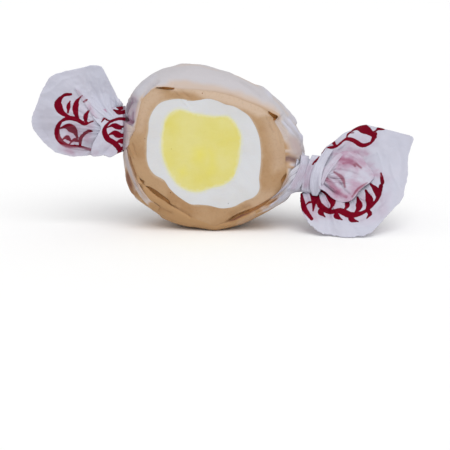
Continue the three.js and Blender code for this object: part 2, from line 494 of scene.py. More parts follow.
def piece_from(
    name: str, skin: bmesh.types.BMesh, finish: bpy.types.Material, node: str
) -> bpy.types.Object:
    """Makes a finished piece of a skin, and says what it stands for.

    Args:
        name: The piece's name.
        skin: Its skin, which is used up.
        finish: Its material.
        node: The CAD node that it replaces.

    Returns:
        The new object.
    """
    mesh = bpy.data.meshes.new(name)
    skin.to_mesh(mesh)
    skin.free()
    mesh.materials.append(finish)
    piece = bpy.data.objects.new(name, mesh)
    bpy.context.scene.collection.objects.link(piece)
    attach(piece, "root")
    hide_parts(node)
    log.info("%s: %d faces, for %s", name, len(mesh.polygons), node)
    return piece


def give_thickness(piece: bpy.types.Object, thickness: float) -> None:
    """Gives a sheet its thickness in millimetres, half to each side."""
    wall = piece.modifiers.new("paper_thickness", "SOLIDIFY")
    wall.thickness = thickness * MM
    wall.offset = 0


# ---- The taffy's form -----------------------------------------------------------------------


@dataclass(frozen=True)
class Dome:
    """An inner layer's outside: a mouth in the cut and a round back inside the taffy."""

    outline: Knots
    depth: float
    squareness: float
    x: float = -2.1
    z: float = 13.3

    def at(self, degrees: float, share: float, grow: float = 0.0) -> Vector:
        """A point on the dome.

        Args:
            degrees: Its direction about the dome's centre.
            share: Its share of the depth, 0 in the cut and 1 at the pole.
            grow: How much larger the dome is made.

        Returns:
            The point, in millimetres.
        """
        narrowing = max(0.0, 1 - share**self.squareness) ** (1 / self.squareness)
        reach = (on_curve(self.outline, degrees) + grow) * narrowing
        angle = math.radians(degrees)
        x, z = self.x + reach * math.cos(angle), self.z + reach * math.sin(angle)
        return Vector((x, share * (self.depth + grow), z))


@dataclass(frozen=True)
class Barrel:
    """The whole taffy's outside: the cut's rim, the bulge behind it and the round back."""

    rim: Knots  # where the cut ends and the paper begins
    widest: Knots
    slits: Knots  # how wide the gap between the cut and the paper is, in millimetres
    rolls: Knots  # how round the cut's edge is, in millimetres
    x: float = 0.0
    z: float = 12.6
    widest_y: float = 5.5
    depth: float = 17.0
    squareness: float = 2.5
    fullness: float = 0.9  # less than 1 for a fuller shoulder
    floor: float = 0.55  # the lowest that the tan coat goes, above the paper's underside
    recess: float = 0.14  # how deep the paper's edge is pressed into the coat
    clearance: float = 0.12  # how far the coat stays inside the barrel's radius behind a gap
    dents: tuple[Crease, ...] = ()  # the paper's creases, whose valleys press into the coat

    def slit(self, degrees: float) -> float:
        """How wide the gap at the rim is in a direction."""
        return on_line(self.slits, degrees)

    def radius(self, degrees: float, y: float, start: float | None = None) -> float:
        """Gives the barrel's radius.

        Args:
            degrees: The direction about the barrel's middle.
            y: The depth behind the cut.
            start: The radius in the cut, if it isn't the rim's.

        Returns:
            The radius.
        """
        widest = on_curve(self.widest, degrees)
        if y <= self.widest_y:
            start = on_curve(self.rim, degrees) if start is None else start
            bulge = math.sqrt(1 - (1 - max(y, 0.0) / self.widest_y) ** 2)
            return start + (widest - start) * bulge**self.fullness
        share = min(1.0, (y - self.widest_y) / (self.depth - self.widest_y))
        return widest * max(0.0, 1 - share**self.squareness) ** (1 / self.squareness)

    def outward(self, degrees: float, y: float, start: float | None = None) -> Vector:
        """Finds the direction straight out of the barrel's side.

        Args:
            degrees: The direction about the barrel's middle.
            y: The depth behind the cut.
            start: The radius in the cut, if it isn't the rim's.

        Returns:
            A vector of length 1, straight back at the pole.
        """
        step, radius = 0.01, self.radius(degrees, y, start)
        if radius < 1e-6:
            return Vector((0.0, 1.0, 0.0))
        slope = (self.radius(degrees, y + step, start) - radius) / step
        size, angle = math.hypot(1.0, slope), math.radians(degrees)
        return Vector((math.cos(angle) / size, -slope / size, math.sin(angle) / size))

    def opened(self, degrees: float) -> float:
        """How far the gap at the rim is open, from 0 to 1."""
        return smooth(0.03, 0.28, self.slit(degrees))

    def drop(self, degrees: float, y: float) -> float:
        """How far the rounded edge of the cut lies inside the barrel's radius."""
        roll = on_line(self.rolls, degrees)
        return roll * (1 - math.sqrt(1 - (1 - min(1.0, max(y, 0.0) / roll)) ** 2))

    def coat(self, degrees: float, y: float) -> Vector:
        """The tan coat's side, which falls away into the gap wherever the paper has come off.

        Args:
            degrees: The direction about the barrel's middle.
            y: The depth behind the cut.

        Returns:
            The point.
        """
        slit, radius = self.slit(degrees), self.radius(degrees, y)
        edge = on_curve(self.rim, degrees) - slit / 2
        roll = on_line(self.rolls, degrees)
        floor_y = 0.6 * roll + 0.3 * slit
        inside = max(edge, radius - self.clearance)
        wall = lerp(edge, inside, smooth(floor_y, floor_y + 0.3 + slit, y))
        recess = self.recess * smooth(0.12 * roll, 0.12 * roll + 0.3, y)
        wall = lerp(radius - recess, wall, self.opened(degrees) * (1 - smooth(1.2, 2.8, y)))
        wall -= self.drop(degrees, y)
        point = self.at(degrees, y, wall, self.floor)
        shown = in_sight(point) * smooth(0.0, 0.1, y)
        if shown:
            seen = EYE.sees(point)
            dent = sum(min(0.0, crease.rise) * crease.weight(*seen) for crease in self.dents)
            point += self.outward(degrees, y) * dent * shown
            point.z = max(point.z, self.floor)
        return point

    def depth_at(self, share: float) -> float:
        """A depth behind the cut, close together near the rim and near the pole."""
        if share < 0.5:
            return self.widest_y * (2 * share) ** 2.2
        turn = (share - 0.5) * 2 * math.asin(1.0)
        return self.widest_y + (self.depth - self.widest_y) * math.sin(turn)

    def at(self, degrees: float, y: float, radius: float, floor: float) -> Vector:
        """A point at a radius and depth, kept above a floor."""
        angle = math.radians(degrees)
        x, z = self.x + radius * math.cos(angle), self.z + radius * math.sin(angle)
        return Vector((x, y, max(z, floor)))


CORE = Dome(
    outline=(
        (0, 6.46), (10, 6.68), (20, 6.94), (30, 6.95), (40, 7), (50, 6.82), (60, 6.06), (70, 5.62),
        (80, 5.5), (90, 5.6), (100, 5.82), (110, 6.56), (120, 7.18), (130, 7.32), (140, 7.1),
        (150, 6.6), (160, 6.32), (170, 6.1), (180, 6.02), (195, 5.96), (210, 6.02), (225, 6.3),
        (240, 6.7), (255, 6.92), (268, 6.9), (280, 6.62), (290, 6.55), (300, 6.82), (310, 7),
        (320, 7), (330, 6.74), (342, 6.52),
    ),
    depth=9.6, squareness=2.6,
)
WHITE = Dome(
    outline=(
        (0, 9.6), (12, 9.52), (24, 9.4), (34, 9.28), (43, 8.9), (52, 8.55), (60, 8.1), (70, 8.06),
        (80, 8.02), (90, 7.7), (100, 7.68), (110, 8.36), (120, 8.94), (130, 9.44), (140, 9.38),
        (150, 9.04), (160, 8.48), (170, 8.34), (180, 8.26), (190, 8.4), (200, 8.42), (210, 8.12),
        (217, 7.62), (223, 7.46), (232, 7.8), (241, 8.1), (251, 8.46), (261, 8.9), (270, 8.86),
        (280, 9.16), (290, 10.06), (300, 10.62), (310, 10.86), (319, 11.5), (326, 11.36),
        (334, 10.42), (346, 9.9),
    ),
    depth=12.6, squareness=2.5,
)
CREASES = (
    # towards the right neck
    # a fold whose shadow is painted in, in brown and purple-grey
    Crease(((284, 158.8), (290, 159), (297, 161)), 5.0, -0.4, 0.8, 0.12, 0.6),
    Crease(((282, 151), (289, 151), (296, 154)), 2.6, 0.14, 0.66),
    Crease(((271, 116), (279, 125), (285, 135), (288, 146)), 5.0, 0.0, 0.52, 0.0, 0.04, taper=0.3),
    Crease(((284, 165.5), (290, 167), (295, 168)), 2.6, 0.16, 0.9),
    Crease(((296, 163), (300, 163), (304, 160.5)), 2.0, -0.6, 0.1, 0.0, 0.6),
    Crease(((283, 117), (290, 126), (297, 136), (301, 144)), 1.5, 0.28, 0.0),
    Crease(((279, 119), (287, 129), (294, 139), (298, 147)), 1.5, 0.24, 0.1),
    Crease(((281, 118), (289, 128), (296, 138), (300, 147)), 1.3, -0.26, 0.2, 0.0, 0.12),
    Crease(((276, 119), (284, 131), (290, 141)), 1.6, 0.14),
    Crease(((285, 116), (293, 125), (299, 136)), 1.3, -0.2, 0.1, 0.0, 0.1),
    Crease(((286, 132), (292, 142), (295, 151), (295, 158)), 7.5, 0.1, 0.5, 0.0, 0.18, taper=0.35),
    # at the left neck, where painted purple-grey shade darkens the hollow
    Crease((
        (135, 97), (131, 105), (128, 114), (128, 124),
    ), 9.0, -0.5, 0.22, 0.0, 0.34, taper=0.15),
    Crease((
        (135, 99), (131, 104), (128.3, 110), (126.3, 116), (126, 122),
    ), 3.0, -0.3, 0.1, 0.0, 0.6),
    Crease(((120, 118), (126, 119.5), (135, 123.5)), 4.4, -0.25, 0.1, 0.0, 1.0, taper=0.16),
    Crease(((133, 110), (132, 116), (131.5, 122)), 2.2, -0.2, 0.2, 0.0, 0.62, taper=0.25),
    Crease(((140, 100), (138, 109), (137.5, 119)), 3.6, 0.12, 0.6),
    Crease(((133.5, 104), (131, 110), (129.6, 117)), 1.5, 0.26, 0.3),
    Crease(((124, 98), (127, 101), (126, 108)), 2.6, 0.2, 0.1),
    # along the top
    Crease(((136, 98), (146, 86), (160, 76)), 3.5, 0.16, 0.2),
    Crease(((142, 99), (150, 88), (162, 80)), 2.4, -0.14, 0.3, 0.0, 0.12),
    Crease(((150, 78), (168, 69), (186, 66)), 3.0, 0.12),
    Crease(((196, 66), (214, 68), (234, 76)), 3.0, 0.12),
    Crease(((240, 78), (252, 84), (262, 92), (272, 103)), 2.2, 0.18, 0.1),
    Crease(((236, 82), (250, 90), (262, 100)), 2.6, -0.12, 0.3, 0.0, 0.06),
    Crease(((222, 79), (240, 86), (262, 98)), 3.0, 0.1),
    # low on the left, where the paper lies on the taffy and painted brown shade darkens it as it
    # turns under
    Crease((
        (126, 164), (128, 176), (133, 190), (139, 199),
    ), 6.5, 0.35, 1.0, 0.66, 0.08, taper=0.35),
    Crease(((128, 167), (131, 180), (135, 191)), 2.4, -0.1, 1.0, 1.0, 0.4, taper=0.4),
    Crease(((129, 153), (132, 165), (137, 178)), 1.6, -0.14, 1.0, 0.4, 0.2),
    # along the bottom, and low on the right
    Crease(((150, 200), (162, 209), (175, 215)), 3.0, -0.25, 1.0, 0.1),
    Crease(((158, 214), (176, 221), (196, 226)), 3.5, 0.2, 1.0),
    # painted brown shade on the paper under the coat's overhanging edge
    Crease((
        (268, 199), (256, 206), (244, 211.5), (232, 217), (218, 222),
    ), 4.2, -0.2, 1.0, 0.9, 0.7, lapped=True, taper=0.3),
    Crease(((234, 224), (246, 218.5), (262, 208)), 3.4, 0.1, 0.9, taper=0.3),
    Crease((
        (259, 206), (249, 211.5), (240, 215.5), (234, 219), (226, 222.5),
    ), 2.3, -0.3, 1.0, 1.0, 0.4, taper=0.3),
)
BARREL = Barrel(
    dents=CREASES,
    rim=(
        (7, 11.1), (15.3, 11.05), (24.5, 10.84), (28.4, 10.85), (29.8, 11.3), (34.5, 11),
        (39, 10.75), (49.3, 10.06), (58.5, 9.6), (78.3, 9.38), (97, 9.72), (109.8, 10.42),
        (117.7, 11.25), (121.2, 11.9), (126.8, 12.8), (130.4, 13.45), (136.4, 13.88),
        (142.1, 13.94), (150.4, 13.22), (160.9, 12.7), (167, 13.15), (173, 13.4), (179, 13.2),
        (185, 12.75), (191, 12.38), (198, 12.05), (202.4, 11.85), (206.5, 11.55), (211.9, 11.15),
        (218.7, 10.74), (226.5, 10.42), (235, 10.28), (244.6, 10.38), (255.4, 10.72), (264, 11.15),
        (271, 11.7), (277, 11.33), (292.3, 10.64), (307.8, 11.08), (323.4, 11.62), (330.4, 12.1),
        (336, 11.7), (343, 11.85), (350, 11.4), (358, 11.2),
    ),
    widest=(
        (0, 14), (30, 12.4), (60, 11.7), (85, 12.1), (108, 13.7), (130, 14.7), (150, 15.1),
        (168, 14.1), (190, 14.1), (203, 14.5), (213, 14.5), (224, 13.9), (238, 13.5), (256, 12.9),
        (270, 12.8), (286, 12.8), (304, 12.9), (330, 14),
    ),
    slits=(
        (0, 0.02), (28, 0.02), (29.2, 0.66), (30.6, 0.7), (34.5, 0.38), (38.5, 0.05), (42, 0.02),
        (119.5, 0.02), (120.5, 0.2), (122.5, 0.4), (126, 0.55), (128.5, 0.3), (131.5, 0.04),
        (136, 0.02), (158, 0.02), (168, 0.08), (190, 0.08), (197, 0.08), (199.5, 0.16),
        (202, 0.28), (204.6, 0.12), (206, 0.12), (209, 0.34), (213, 0.52), (218, 0.5), (224, 0.3),
        (232, 0.16), (240, 0.06), (246, 0.02), (268, 0.02), (276, 0.08), (283, 0.14), (290, 0.2),
        (296, 0.24), (302, 0.24), (312, 0.24), (322, 0.2), (328, 0.12), (332, 0.05), (335.5, 0.12),
        (340, 0.34), (343.5, 0.2), (348, 0.02),
    ),
    rolls=(
        (0, 0.3), (24, 0.3), (29, 0.1), (34, 0.12), (40, 0.35), (60, 0.6), (110, 0.6), (119, 0.4),
        (123, 0.14), (130, 0.2), (136, 0.45), (160, 0.35), (196, 0.2), (206, 0.14), (224, 0.3),
        (240, 0.4), (268, 0.4), (278, 0.5), (285, 0.6), (291, 0.5), (298, 0.3), (320, 0.2),
        (345, 0.2),
    ),
)


def cut_relief(x: float, z: float) -> float:
    """How far the knife's face stands out at a place: soft swells and a faint drag."""
    swell = 0.09 * noise.noise(Vector((x * 0.16, 1.7, z * 0.16)))
    ripple = 0.035 * noise.noise(Vector((x * 0.7, 4.1, z * 0.7)))
    drag = 0.012 * noise.noise(Vector((x * 0.5 + z * 0.3, 8.3, z * 3.1 - x * 0.9)))
    return swell + ripple + drag


def on_cut(x: float, z: float, sunk: float = 0.0) -> Vector:
    """A point on the knife's face."""
    return Vector((x, sunk - cut_relief(x, z), z))


# ---- Finishes -------------------------------------------------------------------------------


def linear(colour: str) -> tuple[float, float, float, float]:
    """Turns an sRGB hex colour into the linear one that shaders take."""
    channels = [int(colour[i : i + 2], 16) / 255 for i in (1, 3, 5)]
    r, g, b = (c / 12.92 if c <= 0.04045 else ((c + 0.055) / 1.055) ** 2.4 for c in channels)
    return r, g, b, 1.0


def add(
    tree: bpy.types.NodeTree, kind: str, inputs: dict | None = None, **settings: object
) -> bpy.types.Node:
    """Adds a node with its settings, values and links.

    Args:
        tree: The material's node tree.
        kind: The node's type name.
        inputs: Values, or other nodes' outputs to link, by input name or number.
        **settings: The node's own properties.

    Returns:
        The new node.
    """
    node = tree.nodes.new(kind)
    for name, value in settings.items():
        setattr(node, name, value)
    for key, value in (inputs or {}).items():
        if isinstance(value, bpy.types.NodeSocket):
            tree.links.new(value, node.inputs[key])
        else:
            node.inputs[key].default_value = value
    return node


def new_material(name: str) -> tuple[bpy.types.Material, bpy.types.NodeTree]:
    """An empty material that uses nodes, and its tree."""
    material = bpy.data.materials.new(name)
    material.use_nodes = True
    material.node_tree.nodes.clear()
    return material, material.node_tree


@dataclass(frozen=True)
class PulledTaffy:
    """Pulled sugar taffy: matte, slightly waxy and a little translucent, so light softens in it.

    Pulling leaves broad mottling and a few burst air bubbles that the knife opened as pits.
    """

    name: str
    base: str
    deep: str  # the colour's deeper patches
    patch: str  # the colour of its marked patches
    neighbour: str  # the colour that smears in from the next layer
    smear_mm: float
    mottle_mm: float
    painted_gap_light: str = "#c9c4b8"  # painted light inside a gap: the colour that light gone through the taffy gives it
    pit_mm: float = 0.13
    pit_spacing_mm: float = 2.6
    ragged_mm: float = 0.7  # the grain of the smear's border
    grain_mm: float = 0.35  # of the sugar
    speckle: float = 0.0  # how strongly that grain shows in the colour
    roughness: float = 0.56

    def make(self) -> bpy.types.Material:
        """Builds the material.

        Returns:
            The finished material.
        """
        material, tree = new_material(self.name)
        here = add(tree, "ShaderNodeTexCoord").outputs["Object"]
        mottle, ragged, grain = (
            add(
                tree, "ShaderNodeTexNoise",
                {"Vector": here, "Scale": 1 / (size * MM), "Detail": detail},
            ).outputs[0]
            for size, detail in (
                (self.mottle_mm, 3.0), (self.ragged_mm, 2.0), (self.grain_mm, 4.0),
            )
        )
        patch, painted_gap_light, edge = (
            add(tree, "ShaderNodeAttribute", attribute_name=mark).outputs["Fac"]
            for mark in ("contact", "see_through_and_shade", "edge")
        )
        # how far the knife dragged the next layer's colour over the border
        reach = add(
            tree, "ShaderNodeMath", {0: ragged, 1: 2 * self.smear_mm}, operation="MULTIPLY",
        ).outputs[0]
        bubbles = add(
            tree, "ShaderNodeTexVoronoi",
            {"Vector": here, "Scale": 1 / (self.pit_spacing_mm * MM)},
        ).outputs["Distance"]
        burst = self.pit_mm / self.pit_spacing_mm
        depth, smear, pit, specks = (
            add(
                tree, "ShaderNodeMapRange",
                {"Value": value, "From Min": a, "From Max": b, "To Min": c, "To Max": d},
            ).outputs[0]
            for value, a, b, c, d in (
                (mottle, 0.42, 0.7, 0.0, 1.0), (edge, 0.0, reach, 0.55, 0.0),
                (bubbles, burst * 0.4, burst, 1.0, 0.0), (grain, 0.5, 0.72, 0.0, self.speckle),
            )
        )
        colour = linear(self.base)
        # pits are darkened with painted shade as well as sunk by the bump
        for share, layer, blend in (
            (depth, self.deep, "MIX"), (patch, self.patch, "MIX"), (painted_gap_light, self.painted_gap_light, "MIX"),
            (smear, self.neighbour, "MIX"), (pit, self.deep, "MULTIPLY"),
            (specks, self.deep, "MULTIPLY"),
        ):
            colour = add(
                tree, "ShaderNodeMix", {0: share, 6: colour, 7: linear(layer)},
                data_type="RGBA", blend_type=blend,
            ).outputs[2]
        relief = add(
            tree, "ShaderNodeMath", {0: grain, 1: pit}, operation="SUBTRACT",
        ).outputs[0]
        bump = add(
            tree, "ShaderNodeBump", {"Height": relief, "Strength": 0.3, "Distance": 0.06 * MM},
        ).outputs[0]
        shader = add(
            tree, "ShaderNodeBsdfPrincipled",
            {"Base Color": colour, "Roughness": self.roughness, "Normal": bump, "IOR": 1.45,
             "Specular IOR Level": 0.35, "Subsurface Weight": 0.12,
             "Subsurface Radius": (1.0, 0.7, 0.45), "Subsurface Scale": 1.2 * MM},
        )
        add(tree, "ShaderNodeOutputMaterial", {"Surface": shader.outputs[0]})
        return material


@dataclass(frozen=True)
class WaxedPaper:
    """Thin waxed tissue: cool white and half clear, so that what it touches shows through.

    Where the paper lies on the taffy its tan shows. Crimson vines are printed on its outside,
    crisp there and a blurred pink through another layer. Its wax gives it a soft gloss.
    """

    name: str = "waxed_tissue_paper"
    cool: str = "#bbbecd"
    warm: str = "#c6c3cf"
    over_taffy: str = "#bdb9bd"  # over the taffy, but clear of it
    on_taffy: str = "#c4b2a6"  # loosely on it
    pressed: str = "#b08c66"  # pressed flat on it
    # painted brown shade, for folds, overhangs and the inside of gaps
    shade_brown: str = "#8a5a34"
    fold_shade: str = "#5f424c"  # painted shade deep in the folds, and partly the inked layers below
    ink: str = "#500013"
    thin_ink: str = "#82001f"
    ink_through: str = "#93546d"
    print_and_shade_pink: str = "#ab839a"  # where the print of several layers glows through, and painted purple-grey shade in hollows and between folds
    cloud_mm: float = 5.0  # the grain of the paper's tone and of the ink's
    layer_mm: float = 2.4  # the grain of what glows through
    fibre_mm: float = 0.5
    ragged_mm: float = 0.4  # the grain of the print's edge
    crumple_mm: float = 2.2
    roughness: float = 0.46

    def make(self) -> bpy.types.Material:
        """Builds the material.

        Returns:
            The finished material.
        """
        material, tree = new_material(self.name)
        here = add(tree, "ShaderNodeTexCoord").outputs["Object"]
        cloud, layers, fibre = (
            add(
                tree, "ShaderNodeTexNoise",
                {"Vector": here, "Scale": 1 / (size * MM), "Detail": 3.0},
            ).outputs[0]
            for size in (self.cloud_mm, self.layer_mm, self.fibre_mm)
        )
        facets = add(
            tree, "ShaderNodeTexVoronoi", {"Vector": here, "Scale": 1 / (self.crumple_mm * MM)},
            feature="DISTANCE_TO_EDGE",
        ).outputs[0]
        contact, painted_brown_shade, deep, see_through_and_shade = (
            add(tree, "ShaderNodeAttribute", attribute_name=mark).outputs["Fac"]
            for mark in ("contact", "edge", "deep", "see_through_and_shade")
        )
        over, on, pressed, uneven, covered, creases = (
            add(
                tree, "ShaderNodeMapRange",
                {"Value": value, "From Min": start, "From Max": end, "To Min": least},
            ).outputs[0]
            for value, start, end, least in (
                (contact, 0.0, 0.3, 0.0), (contact, 0.3, 0.62, 0.0), (contact, 0.62, 1.0, 0.0),
                (layers, 0.38, 0.62, 0.15), (see_through_and_shade, 0.5, 1.0, 0.0), (facets, 0.0, 0.25, 0.0),
            )
        )
        through_and_shade_share = add(tree, "ShaderNodeMath", {0: see_through_and_shade, 1: uneven}, operation="MULTIPLY").outputs[0]
        tones = []
        for base, tints in (
            (self.cool, (
                (cloud, self.warm), (over, self.over_taffy), (on, self.on_taffy),
                (pressed, self.pressed), (painted_brown_shade, self.shade_brown), (deep, self.fold_shade),
                (through_and_shade_share, self.print_and_shade_pink),
            )),
            (self.ink, ((cloud, self.thin_ink), (covered, self.ink_through))),
        ):
            tone = linear(base)
            for share, tint in tints:
                tone = add(
                    tree, "ShaderNodeMix", {0: share, 6: tone, 7: linear(tint)},
                    data_type="RGBA",
                ).outputs[2]
            tones.append(tone)
        colour = add(
            tree, "ShaderNodeMix", {0: self.printed(tree, covered), 6: tones[0], 7: tones[1]},
            data_type="RGBA",
        ).outputs[2]
        relief = add(
            tree, "ShaderNodeMath", {0: fibre, 1: 0.5, 2: creases}, operation="MULTIPLY_ADD",
        ).outputs[0]
        bump = add(
            tree, "ShaderNodeBump", {"Height": relief, "Strength": 0.35, "Distance": 0.07 * MM},
        ).outputs[0]
        shader = add(
            tree, "ShaderNodeBsdfPrincipled",
            {"Base Color": colour, "Roughness": self.roughness, "Normal": bump, "IOR": 1.44,
             "Specular IOR Level": 0.05, "Subsurface Weight": 0.12,
             "Subsurface Radius": (1.0, 0.9, 0.9), "Subsurface Scale": 0.5 * MM},
        )
        add(tree, "ShaderNodeOutputMaterial", {"Surface": shader.outputs[0]})
        return material

    def printed(
        self, tree: bpy.types.NodeTree, covered: bpy.types.NodeSocket
    ) -> bpy.types.NodeSocket:
        """Turns the ink mark into the strokes' crisp or blurred edges.

        Args:
            tree: The material's node tree.
            covered: How far another layer covers the print, which blurs it.

        Returns:
            How much ink there is, from 0 to 1.
        """
        mark = add(tree, "ShaderNodeAttribute", attribute_name="ink").outputs["Fac"]
        here = add(tree, "ShaderNodeTexCoord").outputs["Object"]
        grain = add(
            tree, "ShaderNodeTexNoise", {"Vector": here, "Scale": 1 / (self.ragged_mm * MM)},
        ).outputs[0]
        rough, edge, most_ink = (
            add(
                tree, "ShaderNodeMath", {0: value, 1: times, 2: plus}, operation="MULTIPLY_ADD",
            ).outputs[0]
            for value, times, plus in (
                (grain, 0.24, mark), (covered, 0.5, 0.1), (covered, -0.4, 1.0),
            )
        )
        low, high = (
            add(tree, "ShaderNodeMath", {0: 1.12, 1: edge}, operation=operation).outputs[0]
            for operation in ("SUBTRACT", "ADD")
        )
        return add(
            tree, "ShaderNodeMapRange",
            {"Value": rough, "From Min": low, "From Max": high, "To Max": most_ink},
            interpolation_type="SMOOTHSTEP",
        ).outputs[0]


@dataclass(frozen=True)
class StudioFloor:
    """A sweep of matte white card."""

    name: str = "white_card_sweep"
    colour: str = "#fbfbfb"

    def make(self) -> bpy.types.Material:
        """Builds the material.

        Returns:
            The finished material.
        """
        material, tree = new_material(self.name)
        shader = add(
            tree, "ShaderNodeBsdfPrincipled",
            {"Base Color": linear(self.colour), "Roughness": 0.9, "Specular IOR Level": 0.2},
        )
        add(tree, "ShaderNodeOutputMaterial", {"Surface": shader.outputs[0]})
        return material


# ---- The three colours of taffy -------------------------------------------------------------

SCORES = (  # where the knife pulled at the soft tan, as seen in the picture
    Crease(((266, 111), (268, 118), (272, 127), (275, 133)), 2.2, 0.16),
    Crease(((272, 120), (276, 128), (279, 138), (281, 147)), 2.6, -0.1),
    Crease(((173, 88), (177, 92), (180, 96)), 1.8, 0.15),
    Crease(((181, 91), (186, 95), (190, 100)), 3.0, -0.12),
    Crease(((180, 96), (184, 102), (190, 108.5)), 2.2, 0.07),
    Crease(((170, 204), (178, 209), (186, 214), (193, 219)), 2.2, -0.22),
    Crease(((160, 197), (172, 204), (184, 210)), 2.0, 0.12),
    Crease(((126, 140), (131, 150), (135, 160)), 2.0, 0.15),
    Crease(((131, 141), (134, 149), (137, 158)), 1.6, -0.14),
    Crease(((228, 218), (240, 211), (252, 205)), 4.5, -0.2),
    Crease(((277, 162), (272, 172), (270, 184)), 3.5, -0.08),
)


PALE_TAN = (  # where the tan is paler
    Area((
        (170, 84), (190, 84), (215, 88), (240, 95), (262, 106), (270, 116), (258, 117), (244, 110),
        (222, 103), (205, 99), (194, 93), (182, 91), (172, 91),
    ), 3.5),
    Area((
        (137, 106), (149, 88), (160, 88), (164, 98), (152, 108), (143, 132), (136, 132),
    ), 6, 0.6),
    Area(((262, 116), (280, 119), (290, 145), (286, 168), (274, 172), (270, 140)), 6, 0.45),
    Area(((248, 192), (272, 190), (278, 198), (256, 208), (244, 204)), 6, 0.4),
)
DEEP_LEMON = (  # where the lemon is deeper
    Area(((196, 150), (203, 148), (207, 155), (202, 163), (194, 160)), 9, 0.8),
    Area(((178, 170), (184, 168), (187, 174), (181, 177)), 6, 0.7),
    Area(((209, 150), (214, 154), (215, 168), (210, 172)), 7, 0.7),
)


@dataclass(frozen=True)
class CutTaffy:
    """The three nested colours, each a closed body that the knife went through."""

    columns: int = 560
    dome_rows: int = 16
    overlap: float = 0.06  # how far a layer runs under the one inside it

    def lemon(self) -> None:
        """Builds the lemon core."""

        def face(degrees: float, share: float) -> tuple[Vector, Marks]:
            """The lemon's face, from its centre out."""
            mouth = CORE.at(degrees, 0.0)
            x, z = lerp(CORE.x, mouth.x, share), lerp(CORE.z, mouth.z, share)
            point = on_cut(x, z, -0.012)
            edge = (1 - share) * on_curve(CORE.outline, degrees)
            return point, {"edge": edge, "contact": most(DEEP_LEMON, EYE.sees(point))}

        finish = PulledTaffy(
            "pulled_taffy_lemon", base="#d4cc82", deep="#d2c86c", patch="#d7cd58",
            neighbour="#dadaca", smear_mm=0.5, mottle_mm=4.5, pit_mm=0.1, pit_spacing_mm=3.1,
        )
        skin = banded_skin(self.columns, [Band(40, face), self.back(CORE, 0.0, False)])
        piece_from("lemon_core_cut", skin, finish.make(), "lemon_core")

    def white(self) -> None:
        """Builds the white layer round the core."""

        def face(degrees: float, share: float) -> tuple[Vector, Marks]:
            """The white ring in the cut, from the lemon out."""
            inner = CORE.at(degrees, 0.0, -self.overlap)
            outer = WHITE.at(degrees, 0.0)
            point = inner.lerp(outer, share)
            edge = max(share * (outer - inner).length - self.overlap, 0.0)
            pull = scored(point) * smooth(0.1, 0.5, edge)
            return on_cut(point.x, point.z, -0.006 - pull), {"edge": edge}

        finish = PulledTaffy(
            "pulled_taffy_white", base="#cdced1", deep="#c9c8c8", patch="#cdced1",
            neighbour="#d6d4b0", smear_mm=0.42, mottle_mm=6.0, pit_mm=0.13, pit_spacing_mm=3.4,
        )
        bands = [self.back(CORE, -self.overlap, True), Band(24, face)]
        skin = banded_skin(self.columns, [*bands, self.back(WHITE, 0.0, False)])
        piece_from("white_layer_cut", skin, finish.make(), "white_layer")

    def tan(self) -> None:
        """Builds the tan coat."""

        def face(degrees: float, share: float) -> tuple[Vector, Marks]:
            """The tan ring in the cut, from the white out."""
            inner = WHITE.at(degrees, 0.0, -self.overlap)
            outer = BARREL.coat(degrees, 0.0)
            point = inner.lerp(outer, share)
            edge = max(share * (outer - inner).length - self.overlap, 0.0)
            pull = scored(point) * smooth(0.3, 1.1, edge)
            pale = most(PALE_TAN, EYE.sees(point))
            return on_cut(point.x, point.z, -pull), {"edge": edge, "contact": pale}

        def outside(degrees: float, share: float) -> tuple[Vector, Marks]:
            """The coat's outside, from the cut back to the pole."""
            point = BARREL.coat(degrees, BARREL.depth_at(share))
            level = (cut_relief(point.x, point.z) + scored(point)) * (1 - smooth(0, 1.2, point.y))
            marks = {
                "edge": NO_BORDER,
                "contact": most(PALE_TAN, EYE.sees(point)),
                # painted light inside an open gap, stronger high up, where more light falls from
                # above
                "see_through_and_shade": BARREL.opened(degrees) * smooth(0.02, 0.35, point.y)
                * (1 - smooth(1.5, 3.0, point.y))
                * lerp(0.6, 1.0, smooth(8.0, 15.0, point.z)),
            }
            return point - Vector((0.0, level, 0.0)), marks

        finish = PulledTaffy(
            "pulled_taffy_tan", base="#ae8d6a", deep="#a27d57", patch="#c6ae98",
            neighbour="#c6b7a5", painted_gap_light="#e2a05c", smear_mm=0.42, mottle_mm=3.2, pit_mm=0.12,
            pit_spacing_mm=2.3, speckle=0.12, roughness=0.52,
        )
        bands = [self.back(WHITE, -self.overlap, True), Band(36, face), Band(70, outside)]
        skin = banded_skin(self.columns, bands)
        piece_from("tan_coat_cut", skin, finish.make(), "tan_coat")

    def back(self, dome: Dome, grow: float, forward: bool) -> Band:
        """The round back of a layer.

        Args:
            dome: The layer's form.
            grow: How much larger it is made.
            forward: Whether the band runs from the pole forward to the cut.

        Returns:
            The band.
        """

        def at(degrees: float, share: float) -> tuple[Vector, Marks]:
            """A point of the dome, level with the knife's face in front."""
            turn = (1 - share if forward else share) * math.pi / 2
            point = dome.at(degrees, math.sin(turn) if turn < math.pi / 2 else 1.0, grow)
            level = cut_relief(point.x, point.z) * (1 - smooth(0.0, 0.4, point.y))
            return point - Vector((0.0, level, 0.0)), {"edge": NO_BORDER}

        return Band(self.dome_rows, at)


def scored(point: Vector) -> float:
    """How far the knife's marks lift the tan at a point."""
    across, down = EYE.sees(point)
    return sum(score.rise * score.weight(across, down) for score in SCORES)


# ---- The paper ------------------------------------------------------------------------------


class Side(Enum):
    """Which end of the taffy a twist is on."""

    LEFT = -1
    RIGHT = 1


